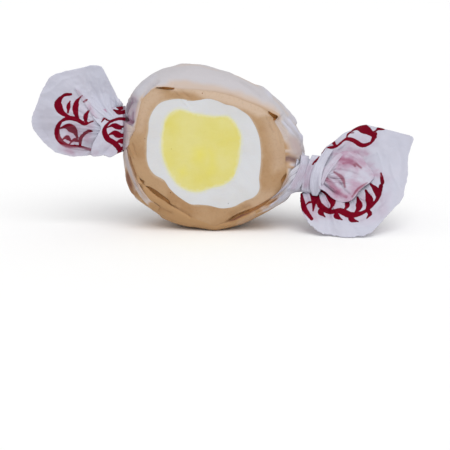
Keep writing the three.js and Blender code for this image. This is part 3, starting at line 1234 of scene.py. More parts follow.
@dataclass(frozen=True)
class Leaf:
    """The spread of loose paper past the neck, about the fan's centre."""

    outline: Knots
    lean: float
    hollow: float
    fold_count: float
    fold_depth: float
    fold_phase: float
    creases: tuple[Crease, ...] = ()
    strokes: tuple[Stroke, ...] = ()
    print_through_and_shade: tuple[Area, ...] = ()

    def direction(self, spoke: float) -> float:
        """The direction of a spoke, from 0, the first, to 1, the last."""
        return round(lerp(self.outline[0][0], self.outline[-1][0], spoke), 4)

    def reach(self, degrees: float) -> float:
        """How far the paper goes in a direction."""
        return on_curve(self.outline, degrees, False)

    def folds(self, spoke: float, share: float) -> float:
        """The soft folds that run out of the neck and fade towards the rim."""
        turns = 2 * math.pi * (spoke * self.fold_count + self.fold_phase)
        wave = 0.6 * math.sin(turns) + 0.4 * math.sin(2.3 * turns + 1)
        return self.fold_depth * wave * math.sin(share * math.pi * 0.8)


@dataclass(frozen=True)
class Twist:
    """One end of the paper: flare, neck and fan in one doubled sheet."""

    side: Side
    waist: float
    fan_centre: float
    waist_radius: float
    fan: Leaf
    flare_radius: float = 4.5
    flare_start: float = 2.4  # how far the flare reaches from the waist towards the taffy
    axis_z: float = 12.1
    axis_y: float = 4.6
    dip: float = math.radians(13.9)
    turn: float = 0.055  # turns of spiral for each millimetre of neck
    groove: float = 0.24
    neck_share: float = 0.3  # of the sheet's rows
    front_share: float = 0.7  # of its columns
    neck_shades: tuple[Crease, ...] = ()  # which only dim its neck
    through_back: float = 0.85  # how far the back layer blurs the front one's print
    seed: float = 0.0

    def beside(self, along: float, across: float, back: float) -> Vector:
        """A point at a distance along the twists' axis, raised across it and set back."""
        along *= self.side.value
        x = along * math.cos(self.dip) + across * math.sin(self.dip)
        z = self.axis_z - along * math.sin(self.dip) + across * math.cos(self.dip)
        return Vector((x, self.axis_y + back, z))

    def straps(self, angle: float) -> float:
        """The bunched folds round the neck, from 0 in a groove to 1 on top of a strap."""
        broad = abs(math.cos(4 * angle + 0.7 * math.sin(2 * angle + self.seed)))
        fine = abs(math.cos(9 * angle + 1.2 * math.sin(3 * angle + self.seed)))
        return 0.72 * broad + 0.28 * fine

    def neck_point(self, angle: float, along: float) -> Vector:
        """Places a point round the neck or its flare.

        Args:
            angle: The angle round the neck, from its top.
            along: The distance along the twists' axis.

        Returns:
            The point.
        """
        inward = max(0.0, self.waist - along) / self.flare_start
        radius = lerp(self.waist_radius, self.flare_radius, inward**2)
        spiral = 2 * math.pi * self.turn * (along - self.fan_centre)
        depth = self.groove * (1 - 0.45 * inward)
        radius *= 1 - depth * (1 - self.straps(angle + spiral))
        crease = noise.noise(Vector((math.cos(angle) * 3, math.sin(angle) * 3, along * 0.5)))
        radius += 0.12 * crease
        return self.beside(along, radius * math.cos(angle), -radius * math.sin(angle))

    def spoke(self, angle: float) -> float:
        """Which of the fan's spokes an angle round the neck leads to, its top to the top one."""
        return (1 + self.side.value * math.cos(angle)) / 2

    def fan_point(self, angle: float, share: float) -> Vector:
        """Places a point of the fan's two layers, front and back.

        Args:
            angle: The angle round the neck that leads to it.
            share: The share of the way from the neck to the rim.

        Returns:
            The point.
        """
        leaf, spoke = self.fan, self.spoke(angle)
        degrees = leaf.direction(spoke)
        ragged = 0.16 * noise.noise(Vector((degrees * 0.09, self.seed, 0.0)))
        ragged += 0.13 * noise.noise(Vector((degrees * 0.4, self.seed, 3.0)))
        reach = lerp(self.waist_radius * 0.9, leaf.reach(degrees) + ragged, share)
        facing = math.copysign(abs(math.sin(angle)) ** 0.7, math.sin(angle))
        centre = self.beside(self.fan_centre, 0.0, 0.0)
        radians = math.radians(degrees)
        right, up = reach * math.cos(radians), reach * math.sin(radians)
        y = centre.y + leaf.lean * up - leaf.hollow * reach**2 / 2 + leaf.folds(spoke, share)
        apart = lerp(self.waist_radius * 0.8, 0.28, smooth(0.0, 0.45, share))
        y -= facing * lerp(apart, 0.09, smooth(0.75, 0.98, share))
        lines = Vector((degrees * 0.085, share * 0.7 + self.seed, facing * 0.4))
        y -= facing * 0.42 * max(0.0, 1 - share) ** 0.8 * (ridges(lines * 1.3) - 0.5)
        dents = ridges(Vector((right * 0.26, self.seed + 3, up * 0.26)))
        y -= 0.2 * dents * smooth(0.2, 0.6, share)
        fine = ridges(Vector((right * 0.7 + 3, self.seed + 5, up * 0.7)))
        y -= (0.06 * fine + 0.05 * ridges(lines * 3.1)) * smooth(0.2, 0.5, share)
        y += 0.22 * noise.noise(Vector((right * 0.17, self.seed, up * 0.17))) * share
        return Vector((centre.x + right, y, max(centre.z + up, NEAR_FLOOR)))

    def angle(self, across: float) -> float:
        """The angle round the neck of a share of the columns, which are closest in front."""
        if across > self.front_share:
            return math.pi * (1 + (across - self.front_share) / (1 - self.front_share))
        turn = across / self.front_share
        return math.pi * turn + 0.17 * math.sin(2 * math.pi * turn)

    def sheet(self, across: float, along: float) -> tuple[Vector, Marks]:
        """Places the twist's sheet, from the flare's edge, through the neck, to the fan's rim.

        Args:
            across: The share of the way round.
            along: The share of the way from the flare to the rim.

        Returns:
            The point and its marks.
        """
        angle = self.angle(across)
        begin = self.waist - self.flare_start
        begin += 0.5 * noise.noise(Vector((math.cos(angle) * 1.6, math.sin(angle) * 1.6, 5.0)))
        if along <= self.neck_share:
            reach_along = lerp(begin, self.fan_centre, along / self.neck_share)
            point = self.neck_point(angle, reach_along)
            return point, {"deep": folded(self.neck_shades, EYE.sees(point))[1]["deep"]}
        share = (along - self.neck_share) / (1 - self.neck_share)
        point = self.neck_point(angle, self.fan_centre)
        point = point.lerp(self.fan_point(angle, share), smooth(0.0, 0.3, share))
        seen = EYE.sees(point)
        ink = inked(self.fan.strokes, seen)
        if math.sin(angle) <= 0:  # the print of the front layer shows through the back one
            return point, {"ink": ink, "see_through_and_shade": self.through_back * min(1.0, ink)}
        rise, marks = folded(self.fan.creases, seen)
        point.y -= rise
        marks["see_through_and_shade"] = most(self.fan.print_through_and_shade, seen)
        marks["ink"] = ink
        return point, marks


@dataclass(frozen=True, kw_only=True)
class Overlay:
    """A layer of paper that lies over others, and is placed as it is seen in the picture."""

    name: str
    columns: int = 70
    rows: int = 46
    lift: float = 0.2  # millimetres in front of what carries it
    arch: float = 0.0  # how much further its middle stands out, across
    tuck: tuple[float, float] = (0.15, 0.0)  # share at its start and end that goes underneath
    pleats: float = 0.0  # how many folds run along it
    pleat_depth: float = 0.12
    touch: float = 0.0  # how far it lies on the taffy
    tucked: float = 0.35  # how far behind its carrier a tucked end goes, in millimetres
    crumple: float = 0.06
    least_z: float = 0.1
    softening: int = 3  # times that the felt depths are smoothed
    rim: Knots = ((0.0, 0.0), (1.0, 0.0))  # what its far edge adds to the lift, across
    creases: tuple[Crease, ...] = ()
    strokes: tuple[Stroke, ...] = ()
    print_through_and_shade: tuple[Area, ...] = ()

    def seen(self, across: float, along: float) -> tuple[float, float]:
        """Where a point of the sheet is seen in the picture."""
        raise NotImplementedError

    def height(self, across: float, along: float) -> float:
        """Works out how far the sheet stands in front of what carries it.

        Args:
            across: The share of the way across it.
            along: The share of the way along it.

        Returns:
            The height in millimetres, less than 0 where the sheet is tucked under.
        """
        rise = self.lift + self.arch * (1 - (2 * across - 1) ** 2)
        rise += on_curve(self.rim, round(across, 4), False) * smooth(0.2, 1.0, along)
        wander = across + 0.05 * math.sin(5 * along + len(self.name))
        turns = math.pi * self.pleats * wander
        ripple = 0.75 * abs(math.sin(turns)) + 0.35 * abs(math.sin(2.6 * turns + 1)) - 0.5
        rise += self.pleat_depth * ripple * smooth(0.0, 0.2, along) * (1 - 0.5 * along)
        start, end = self.tuck
        under = max(1 - smooth(0.0, start or 1e-6, along), smooth(1 - (end or 1e-6), 1.0, along))
        return lerp(rise, -self.tucked, under)

    def lay_on(self, carriers: list[BVHTree]) -> bmesh.types.BMesh:
        """Lays the sheet over the pieces that carry it.

        Args:
            carriers: The surfaces of those pieces.

        Returns:
            The sheet's skin.
        """
        depths = self.depths(carriers)
        eye = EYE.location

        def place(across: float, along: float) -> tuple[Vector, Marks]:
            """A point of the sheet, on the camera's ray through it, and its marks."""
            seen = self.seen(across, along)
            rise, marks = folded(self.creases, seen, self.touch)
            height = self.height(across, along) + rise
            spot = Vector((seen[0] * 0.12, len(self.name), seen[1] * 0.12))
            height += self.crumple * noise.noise(spot)
            ray = (EYE.behind(*seen) - eye).normalized()
            away = read_grid(depths, across, along)
            point = eye + ray * (away - height)
            point.z = max(point.z, self.least_z)
            marks["see_through_and_shade"] = most(self.print_through_and_shade, seen)
            marks["ink"] = inked(self.strokes, seen)
            return point, marks

        return bent_grid(self.columns, self.rows, place, wraps=False)

    def depths(self, carriers: list[BVHTree]) -> list[list[float]]:
        """Feels how far from the camera the carriers are, and smooths it.

        Args:
            carriers: Their surfaces.

        Returns:
            Distances in millimetres, on a coarse grid over the sheet.
        """
        eye, steps = placed(EYE.location), range(DEPTH_CELLS + 1)
        felt: list[list[float | None]] = []
        for i in steps:
            row: list[float | None] = []
            for j in steps:
                ray = placed(EYE.behind(*self.seen(i / DEPTH_CELLS, j / DEPTH_CELLS))) - eye
                hits = [tree.ray_cast(eye, ray.normalized())[3] for tree in carriers]
                found = [hit / MM for hit in hits if hit is not None and hit < FARTHEST]
                row.append(min(found) if found else None)
            felt.append(row)
        for _ in steps:
            felt = [[self.nearby(felt, i, j, False) for j in steps] for i in steps]
        felt = [[self.nearest(felt, i, j) for j in steps] for i in steps]
        for _ in range(self.softening):
            felt = [[self.nearby(felt, i, j, True) for j in steps] for i in steps]
        return felt

    @staticmethod
    def around(grid: list[list[float | None]], i: int, j: int) -> list[float]:
        """The known values round a place in a grid."""
        rows = grid[max(i - 1, 0) : i + 2]
        return [v for row in rows for v in row[max(j - 1, 0) : j + 2] if v is not None]

    def nearby(
        self, grid: list[list[float | None]], i: int, j: int, soften: bool
    ) -> float | None:
        """Fills an unknown value from those round it, or softens a known one."""
        known = self.around(grid, i, j)
        if (grid[i][j] is not None and not soften) or not known:
            return grid[i][j]
        return sum(known) / len(known)

    def nearest(self, grid: list[list[float | None]], i: int, j: int) -> float:
        """The value that is nearest to the camera round a place."""
        return min(self.around(grid, i, j), default=EYE.distance)


@dataclass(frozen=True, kw_only=True)
class Strap(Overlay):
    """A fold between two edges."""

    left: Places
    right: Places

    def seen(self, across: float, along: float) -> tuple[float, float]:
        """Where a point of the strap is seen in the picture."""
        (ax, ay), (bx, by) = through(self.left, along), through(self.right, along)
        return lerp(ax, bx, across), lerp(ay, by, across)


@dataclass(frozen=True, kw_only=True)
class Lobe(Overlay):
    """A spread of paper from a root to its border."""

    root: tuple[float, float]
    border: Places

    def seen(self, across: float, along: float) -> tuple[float, float]:
        """Where a point of the lobe is seen in the picture."""
        x, y = through(self.border, across)
        share = lerp(0.06, 1.0, along)
        return lerp(self.root[0], x, share), lerp(self.root[1], y, share)


def through(places: Places, share: float) -> tuple[float, float]:
    """A place on the smooth line through some places, a share of the way along it."""
    last = len(places) - 1
    xs, ys = (tuple((i / last, p[axis]) for i, p in enumerate(places)) for axis in (0, 1))
    return on_curve(xs, round(share, 5), False), on_curve(ys, round(share, 5), False)


def read_grid(grid: list[list[float]], across: float, along: float) -> float:
    """Reads a coarse square grid of values smoothly between its own places.

    Args:
        grid: The values.
        across: The share of the way through its rows.
        along: The share of the way through its columns.

    Returns:
        The value there.
    """
    last = len(grid) - 1
    a, b = min(across * last, last - 1e-6), min(along * last, last - 1e-6)
    i, j = int(a), int(b)
    s, t = ((smooth(0, 1, share) + share) * 0.5 for share in (a - i, b - j))
    first, second = (lerp(grid[i][k], grid[i + 1][k], s) for k in (j, j + 1))
    return lerp(first, second, t)


@dataclass(frozen=True)
class Wrapper:
    """The waxed paper: the part round the taffy, cut with it, and the twists at its ends."""

    left: Twist
    right: Twist
    touching: Knots  # how far from the barrel's middle the paper still lies on the taffy
    fullest: Knots  # and how closely it lies there
    margins: Knots  # how far from the rim it still lies closer, in millimetres
    creases: tuple[Crease, ...]
    print_through_and_shade: tuple[Area, ...]
    overlays: tuple[Overlay, ...]
    columns: int = 620
    rows: int = 104
    inner_rows: int = 16
    twist_columns: int = 340
    twist_rows: int = 120
    thickness: float = 0.11
    least: float = 0.3  # how far the paper lies on the taffy elsewhere on its body
    outer_z: float = 0.05  # the lowest that its outer face goes
    inner_z: float = 0.3
    flush: float = 0.03  # the most that its inner face stands out behind the rim
    lap_z: float = 14.6  # where the seam is in the middle of the back
    lap_rise: float = 0.34

    def gathers(self, point: Vector, twist: Twist) -> float:
        """Works out the creases that run from a neck over the taffy's shoulder.

        Args:
            point: A point of the paper.
            twist: The twist whose neck it is.

        Returns:
            How far they raise the paper, in millimetres.
        """
        side = twist.side.value
        if (point.x - side * 4) * side < 0:
            return 0.0
        root = twist.beside(twist.waist, 0.0, 0.0)
        across, back = point.z - root.z, point.y - root.y
        off = math.hypot(across, back)
        angle = math.atan2(across, back)
        ring = Vector((math.cos(angle) * 2.4, math.sin(angle) * 2.4, off * 0.06 + twist.seed))
        sharp = ridges(ring) * 0.6 + ridges(ring * 2.3) * 0.4
        far = lerp(4.0, 8.0, smooth(3.0, 7.0, point.y))
        return 0.5 * (sharp - 0.4) * smooth(2.0, 4.0, off) * (1 - smooth(far, far + 7.0, off))

    def lap(self, point: Vector) -> tuple[float, float]:
        """The seam along the taffy's back, where one edge of the paper lies over the other.

        Args:
            point: A point of the paper.

        Returns:
            How far the seam raises it, in millimetres, and how far the paper is double there.
        """
        wander = 0.9 * noise.noise(Vector((point.x * 0.12, 7.7, 0.0)))
        wander += 0.15 * noise.noise(Vector((point.x * 0.6, 2.2, 0.0)))
        over = point.z - self.lap_z - 0.12 * point.x - wander
        behind = smooth(4.5, 7.0, point.y)
        double = smooth(-0.15, 0.15, over) * (1 - smooth(5.5, 6.5, over)) * behind
        return double * lerp(self.lap_rise, 0.1, smooth(0.0, 5.0, over)), double

    def contact(self, point: Vector) -> float:
        """Works out how closely the paper lies on the taffy.

        Args:
            point: A point of the paper.

        Returns:
            0 where it is loose, up to 1 where it is pressed on.
        """
        rough = noise.noise(point * 0.35) + 0.4 * noise.noise(point * 1.1)
        flat = EYE.behind(*EYE.sees(point))
        off = math.hypot(flat.x, flat.z - BARREL.z)
        degrees = round(math.degrees(math.atan2(flat.z - BARREL.z, flat.x)) % 360, 3)
        limit, full = on_line(self.touching, degrees), on_line(self.fullest, degrees)
        near = 1 - smooth(limit - 0.45, limit + 0.45, off + 0.3 * rough)
        front = lerp(self.least, full, near)
        margin, edge = on_line(self.margins, degrees), on_curve(BARREL.rim, degrees)
        front = lerp(front, min(1.0, full + 0.2), 1 - smooth(0.0, margin, off - edge))
        under = smooth(5.0, 1.5, point.z)
        patch = smooth(-0.1, 0.4, noise.noise(point * 0.16 + Vector((4, 1, 9))) + 0.2 * rough)
        back = lerp(lerp(self.least, 0.55, patch), 0.12, 0.8 * self.lap(point)[1])
        back = max(back, under)
        return lerp(front, back, smooth(3.5, 6.5, point.y))

    def body_at(self, degrees: float, y: float, outside: bool) -> tuple[Vector, Marks]:
        """Places the paper round the taffy.

        Args:
            degrees: The direction about the barrel's middle.
            y: The depth behind the cut.
            outside: Whether it is the outer face of the paper.

        Returns:
            The point and its marks.
        """
        slit, closed = BARREL.slit(degrees), 1 - BARREL.opened(degrees)
        y += 0.1 * on_line(BARREL.rolls, degrees) * closed * (1 - smooth(0.0, 3.0, y))
        ragged = 0.09 * noise.noise(Vector((degrees * 0.13, 3.3, 0.0))) * (1 - closed)
        start = on_curve(BARREL.rim, degrees) + slit / 2 + ragged
        radius = BARREL.radius(degrees, y, start)
        out = BARREL.outward(degrees, y, start)
        base = BARREL.at(degrees, y, radius - closed * BARREL.drop(degrees, y), NEAR_FLOOR)
        shown = in_sight(base)
        creases = self.creases if shown else ()
        lift, marks = folded(creases, EYE.sees(base), self.contact(base), shown)
        lift *= smooth(0.0, 0.12, y)
        contact = marks["contact"]
        crumple = ridges(base * 0.22 + Vector((5.1, 0, 0))) * 0.2
        crumple += ridges(base * 0.55 + Vector((2.1, 0, 7.0))) * 0.08
        behind = smooth(3.5, 6.5, y)
        pulls = Vector((base.x * 0.05, base.y * 0.09, base.z * 0.24 + 0.03 * base.x))
        crumple += behind * (0.35 * ridges(pulls) + 0.12 * ridges(pulls * 2.7))
        gather = self.gathers(base, self.left) + self.gathers(base, self.right)
        lift += self.lap(base)[0]
        loose = (1 - contact) * smooth(0.0, 2.0, y)
        lift += loose * (0.16 + crumple) + gather * smooth(0.3, 2.5, y) * (1 - 0.6 * contact)
        lift += 0.18 * smooth(0.05, 0.45, slit) * (1 - smooth(0.0, 0.5, y))
        proud = lerp(0.05, -0.09 if outside else -0.06, closed * (1 - smooth(0.0, 1.2, y)))
        lift += proud + (self.thickness if outside else 0.0)
        if not outside:
            lift = lerp(lift, min(lift, self.flush), smooth(1.0, 3.0, y))
        level = (cut_relief(base.x, base.z) + scored(base)) * (1 - smooth(0.0, 1.2, y))
        point = base + out * lift - Vector((0.0, level, 0.0))
        point.z = max(point.z, self.outer_z if outside else self.inner_z)
        if outside:
            marks["see_through_and_shade"] = shown * most(self.print_through_and_shade, EYE.sees(point)) if shown else 0.0
        else:
            # the hidden inner face, seen only inside a gap, is painted with the gap's brown light
            # and shade
            hidden = lerp(1.0, smooth(0.4, 1.2, y), closed)
            marks["contact"] = lerp(contact, 1.0, hidden)
            marks["edge"] = lerp(marks["edge"], 0.7, hidden)
        return point, marks

    def body(self) -> bmesh.types.BMesh:
        """Builds the paper round the taffy, as a closed skin with an inner and an outer face.

        Returns:
            The skin.
        """
        stretch = (BARREL.depth + 0.3) / BARREL.depth

        def inner(degrees: float, share: float) -> tuple[Vector, Marks]:
            """The inner face, from the pole forward."""
            return self.body_at(degrees, BARREL.depth_at(1 - share), False)

        def edge(degrees: float, share: float) -> tuple[Vector, Marks]:
            """The cut edge, from the inner face to the outer one."""
            near, marks = self.body_at(degrees, 0.0, False)
            far, _ = self.body_at(degrees, 0.0, True)
            return near.lerp(far, share), marks

        def outer(degrees: float, share: float) -> tuple[Vector, Marks]:
            """The outer face, from the cut back."""
            y = BARREL.depth_at(share) * stretch
            point, marks = self.body_at(degrees, min(y, BARREL.depth), True)
            point.y += max(0.0, y - BARREL.depth)
            return point, marks

        bands = [Band(self.inner_rows, inner), Band(1, edge), Band(self.rows, outer)]
        return banded_skin(self.columns, bands)

    def build(self) -> None:
        """Builds all the paper."""
        finish = WaxedPaper().make()
        skins = {"wax_paper_body": self.body()}
        for twist in (self.left, self.right):
            skin = bent_grid(self.twist_columns, self.twist_rows, twist.sheet, True)
            skins[f"wax_paper_{twist.side.name.lower()}_twist"] = skin
        carriers = [BVHTree.FromBMesh(skin) for skin in skins.values()]
        for overlay in self.overlays:
            skin = overlay.lay_on(carriers)
            skins[overlay.name] = skin
            carriers.append(BVHTree.FromBMesh(skin))
        for name, skin in skins.items():
            piece = piece_from(name, skin, finish, "wax_wrapper")
            if name != "wax_paper_body":
                give_thickness(piece, self.thickness)


LEFT = Twist(
    side=Side.LEFT, waist=14.9, fan_centre=16.2, waist_radius=2.9,
    fan=Leaf(
        outline=(
            (70, 4.2), (78, 4.7), (84, 5.15), (90, 6.4), (94, 7.5), (97, 8.9), (99, 10),
            (102, 10.4), (110, 10.75), (122, 11.2), (133, 12.3), (139, 12.7), (155, 12.7),
            (164, 12.85), (172, 13.05), (178, 12.85), (184, 12.15), (196, 10.75), (202, 10.1),
            (208, 9), (214, 8.05), (221, 6.7), (230, 5.6), (242, 4.9), (256, 4.5), (270, 4),
            (280, 3.5),
        ),
        lean=-0.1, hollow=0.022, fold_count=3, fold_depth=0.35, fold_phase=0.62,
        creases=(
            Crease(((74, 86), (77, 92), (84, 102), (92, 114), (99, 124)), 15.0, 0.32, lapped=True),
            Crease(((44, 100), (40, 114), (43, 130), (53, 144)), 5.0, -0.12),
            # no rise: this crease only paints shade over the fan's left part
            Crease(((47, 98), (46, 116), (49, 132), (58, 146)), 15.0, 0.0, deep=0.13, taper=0.3),
            Crease(((48, 92), (62, 80), (84, 73)), 2.6, 0.08),
            Crease(((62, 150), (76, 153), (92, 152)), 3.0, -0.12),
            Crease(((60, 143), (72, 136), (90, 141)), 2.0, 0.14),
            Crease(((66, 137), (78, 147), (92, 149)), 1.6, -0.14),
            Crease(((92, 114), (97, 120), (101, 127)), 1.3, -0.1, deep=0.6),
            Crease(((66, 148), (80, 150), (93, 151)), 1.4, -0.1, deep=0.35),
        ),
        strokes=(
            Stroke((
                (93, 121), (85, 124), (77, 119.5), (69, 118), (61, 121.5), (57, 130), (59, 139),
                (67, 145.5), (79, 146.5), (92, 150),
            ), (2.6, 5.4, 2.6)),
            Stroke(((71, 118), (61.5, 112), (58, 103), (63.5, 95.5), (71, 94)), (2.6, 7.6, 3.0)),
            Stroke(((79, 120.5), (75.5, 111), (77, 101.5), (82.5, 95)), (2.2, 6.4, 2.2)),
            Stroke(((68, 112.5), (68.5, 106), (70, 101)), (2.0, 4.6, 1.6)),
            Stroke(((86, 123.5), (86, 115.5), (91, 108)), (2.0, 5.2, 1.8)),
            Stroke(((59, 128.5), (67, 126.5), (74, 130.5), (77.5, 137.5)), (2.4, 7.4, 2.2)),
            Stroke(((60.5, 141), (66.5, 137.5), (71, 141)), (2.0, 5.0, 2.0)),
            Stroke(((80, 146.5), (81, 138), (87.5, 131.5), (92, 131)), (2.4, 6.2, 2.6)),
            Stroke(((68, 145.5), (74, 140), (80, 141.5)), (2.0, 4.8, 1.8)),
            Stroke(((84, 101.5), (87, 99.5)), (3.0, 4.4, 3.0)),
        ),
        print_through_and_shade=(
            Area(((56, 142), (74, 145), (94, 146), (94, 154), (76, 156), (60, 151)), 3.0, 0.7),
            Area(((77, 90), (84, 96), (98, 114), (98, 122), (91, 113), (84, 103)), 2.5, 0.8),
            Area(((56, 126), (74, 122), (93, 122), (94, 146), (66, 148), (55, 142)), 4.0, 0.55),
            Area(((60, 98), (76, 95), (90, 112), (90, 124), (64, 120)), 5.0, 0.22),
        ),
    ),
    neck_shades=(
        Crease(((119, 100), (127, 106), (127, 126)), 12.0, 0.0, deep=0.3, taper=0.02),
        Crease(((119, 119), (125, 118.5), (133, 122)), 5.5, 0.0, deep=1.0, taper=0.02),
    ),
    seed=2.6,
)
RIGHT = Twist(
    side=Side.RIGHT, waist=15.4, fan_centre=18.0, waist_radius=2.8, groove=0.16,
    fan=Leaf(
        outline=(
            (-150, 4), (-132, 5.2), (-115, 6.2), (-98, 7.05), (-84, 7.5), (-72, 8), (-60, 8.75),
            (-46, 9.95), (-34, 10.4), (-25, 10.95), (-18, 11.5), (-10, 12.6), (-2, 13.05),
            (6, 13.55), (14, 14.25), (20, 15.3), (24, 16.1), (28, 14.8), (34, 13.3), (40, 12),
            (46, 11.2), (50, 10.3), (54, 8.9), (60, 7.6), (66, 6), (72, 5.2), (80, 4.4), (88, 3.6),
        ),
        lean=0.95, hollow=0.035, fold_count=4, fold_depth=0.5, fold_phase=0.2,
        creases=(
            Crease(((376, 148), (380, 160), (384, 172)), 1.8, 0.14),
            Crease(((388, 158), (394, 178), (401, 192)), 1.8, 0.16),
            Crease(((350, 230), (368, 226), (386, 214)), 4.0, -0.12),
            Crease(((397, 142), (402, 160), (399, 186)), 4.0, -0.12),
            Crease(((334, 152), (350, 140), (366, 146), (378, 140)), 2.0, 0.12),
            Crease((
                (390, 196), (383.5, 205), (373, 213), (362, 220.5), (350, 222), (336, 218),
            ), 14.0, 0.3, lapped=True, taper=0.3),
            Crease(((352, 190), (356, 204), (364, 215)), 2.4, 0.2),
            Crease(((362, 186), (370, 198), (376, 208)), 2.4, -0.16),
            Crease(((320, 200), (334, 208), (346, 214)), 2.4, 0.16),
            Crease(((374, 168), (382, 180), (384, 196)), 3.0, 0.15),
        ),
        strokes=(
            Stroke((
                (320, 154), (327.5, 148.5), (336.5, 146.5), (345.5, 139.5), (353.5, 140.5),
                (362, 145.5), (371, 142.5), (375.5, 134),
            ), (3.2, 3.8, 5.0)),
            Stroke(((375, 137), (367, 130.5), (358.5, 128), (352, 131)), (3.4, 9.0, 2.6)),
            Stroke(((374.5, 132), (379, 128.5), (384.5, 129.5)), (3.6, 5.0, 1.8)),
            Stroke(((336, 146.5), (333.5, 141.5), (337.5, 136.5)), (1.8, 3.8, 1.6)),
            Stroke(((346, 139.5), (348.5, 133.5), (354, 133)), (1.6, 2.8, 1.4)),
            Stroke(((299.5, 187), (300.5, 198), (304.5, 209), (311.5, 219)), (4.8, 5.6, 3.0)),
            Stroke(((310.5, 189), (314, 200), (313, 211)), (4.4, 5.4, 1.8)),
            Stroke(((304, 207.5), (308.5, 203), (313, 202)), (2.0, 3.4, 2.0)),
            Stroke((
                (316.5, 195), (320, 205), (329, 211.5), (340, 211), (350, 215), (361, 213.5),
                (371, 207), (378.5, 197), (381, 186),
            ), (4.4, 6.2, 4.4)),
            Stroke(((329, 211), (332.5, 203), (328.5, 194), (319.5, 189.5)), (2.4, 7.2, 2.6)),
            Stroke(((342, 212), (347, 206), (345.5, 199)), (2.0, 5.4, 2.0)),
            Stroke(((353, 215), (359, 207), (357.5, 197.5)), (2.2, 7.4, 2.4)),
            Stroke(((366, 210.5), (369.5, 201), (366, 191)), (2.4, 7.6, 2.4)),
            Stroke(((377.5, 198.5), (376, 190.5), (370.5, 184)), (2.2, 5.4, 2.0)),
            Stroke(((322, 206), (320.5, 212), (325, 217)), (1.8, 5.4, 1.2)),
            Stroke(((337, 210.5), (336.5, 216), (342, 220)), (1.8, 5.2, 1.2)),
            Stroke(((349, 214), (351.5, 219.5), (358, 221.5)), (1.8, 4.8, 1.2)),
            Stroke(((367, 209), (369.5, 214), (366, 219)), (1.8, 5.0, 1.2)),
            Stroke(((381, 173.5), (382.5, 182.5)), (1.8, 3.4, 3.6)),
        ),
        print_through_and_shade=(
            Area(((297, 186), (314, 188), (318, 200), (318, 222), (299, 218)), 3.0, 0.5),
            Area((
                (316, 188), (352, 200), (384, 186), (384, 206), (362, 222), (318, 218),
            ), 4.0, 0.5),
            Area((
                (326, 154), (340, 147), (366, 148), (374, 160), (384, 178), (362, 178),
            ), 4.0, 0.8),
            Area(((322, 150), (352, 134), (378, 130), (376, 146), (340, 152)), 4.0, 0.3),
            Area(((376, 176), (392, 178), (388, 214), (366, 226), (350, 224)), 5.0, 0.25),
        ),
    ),
    seed=0.4,
)
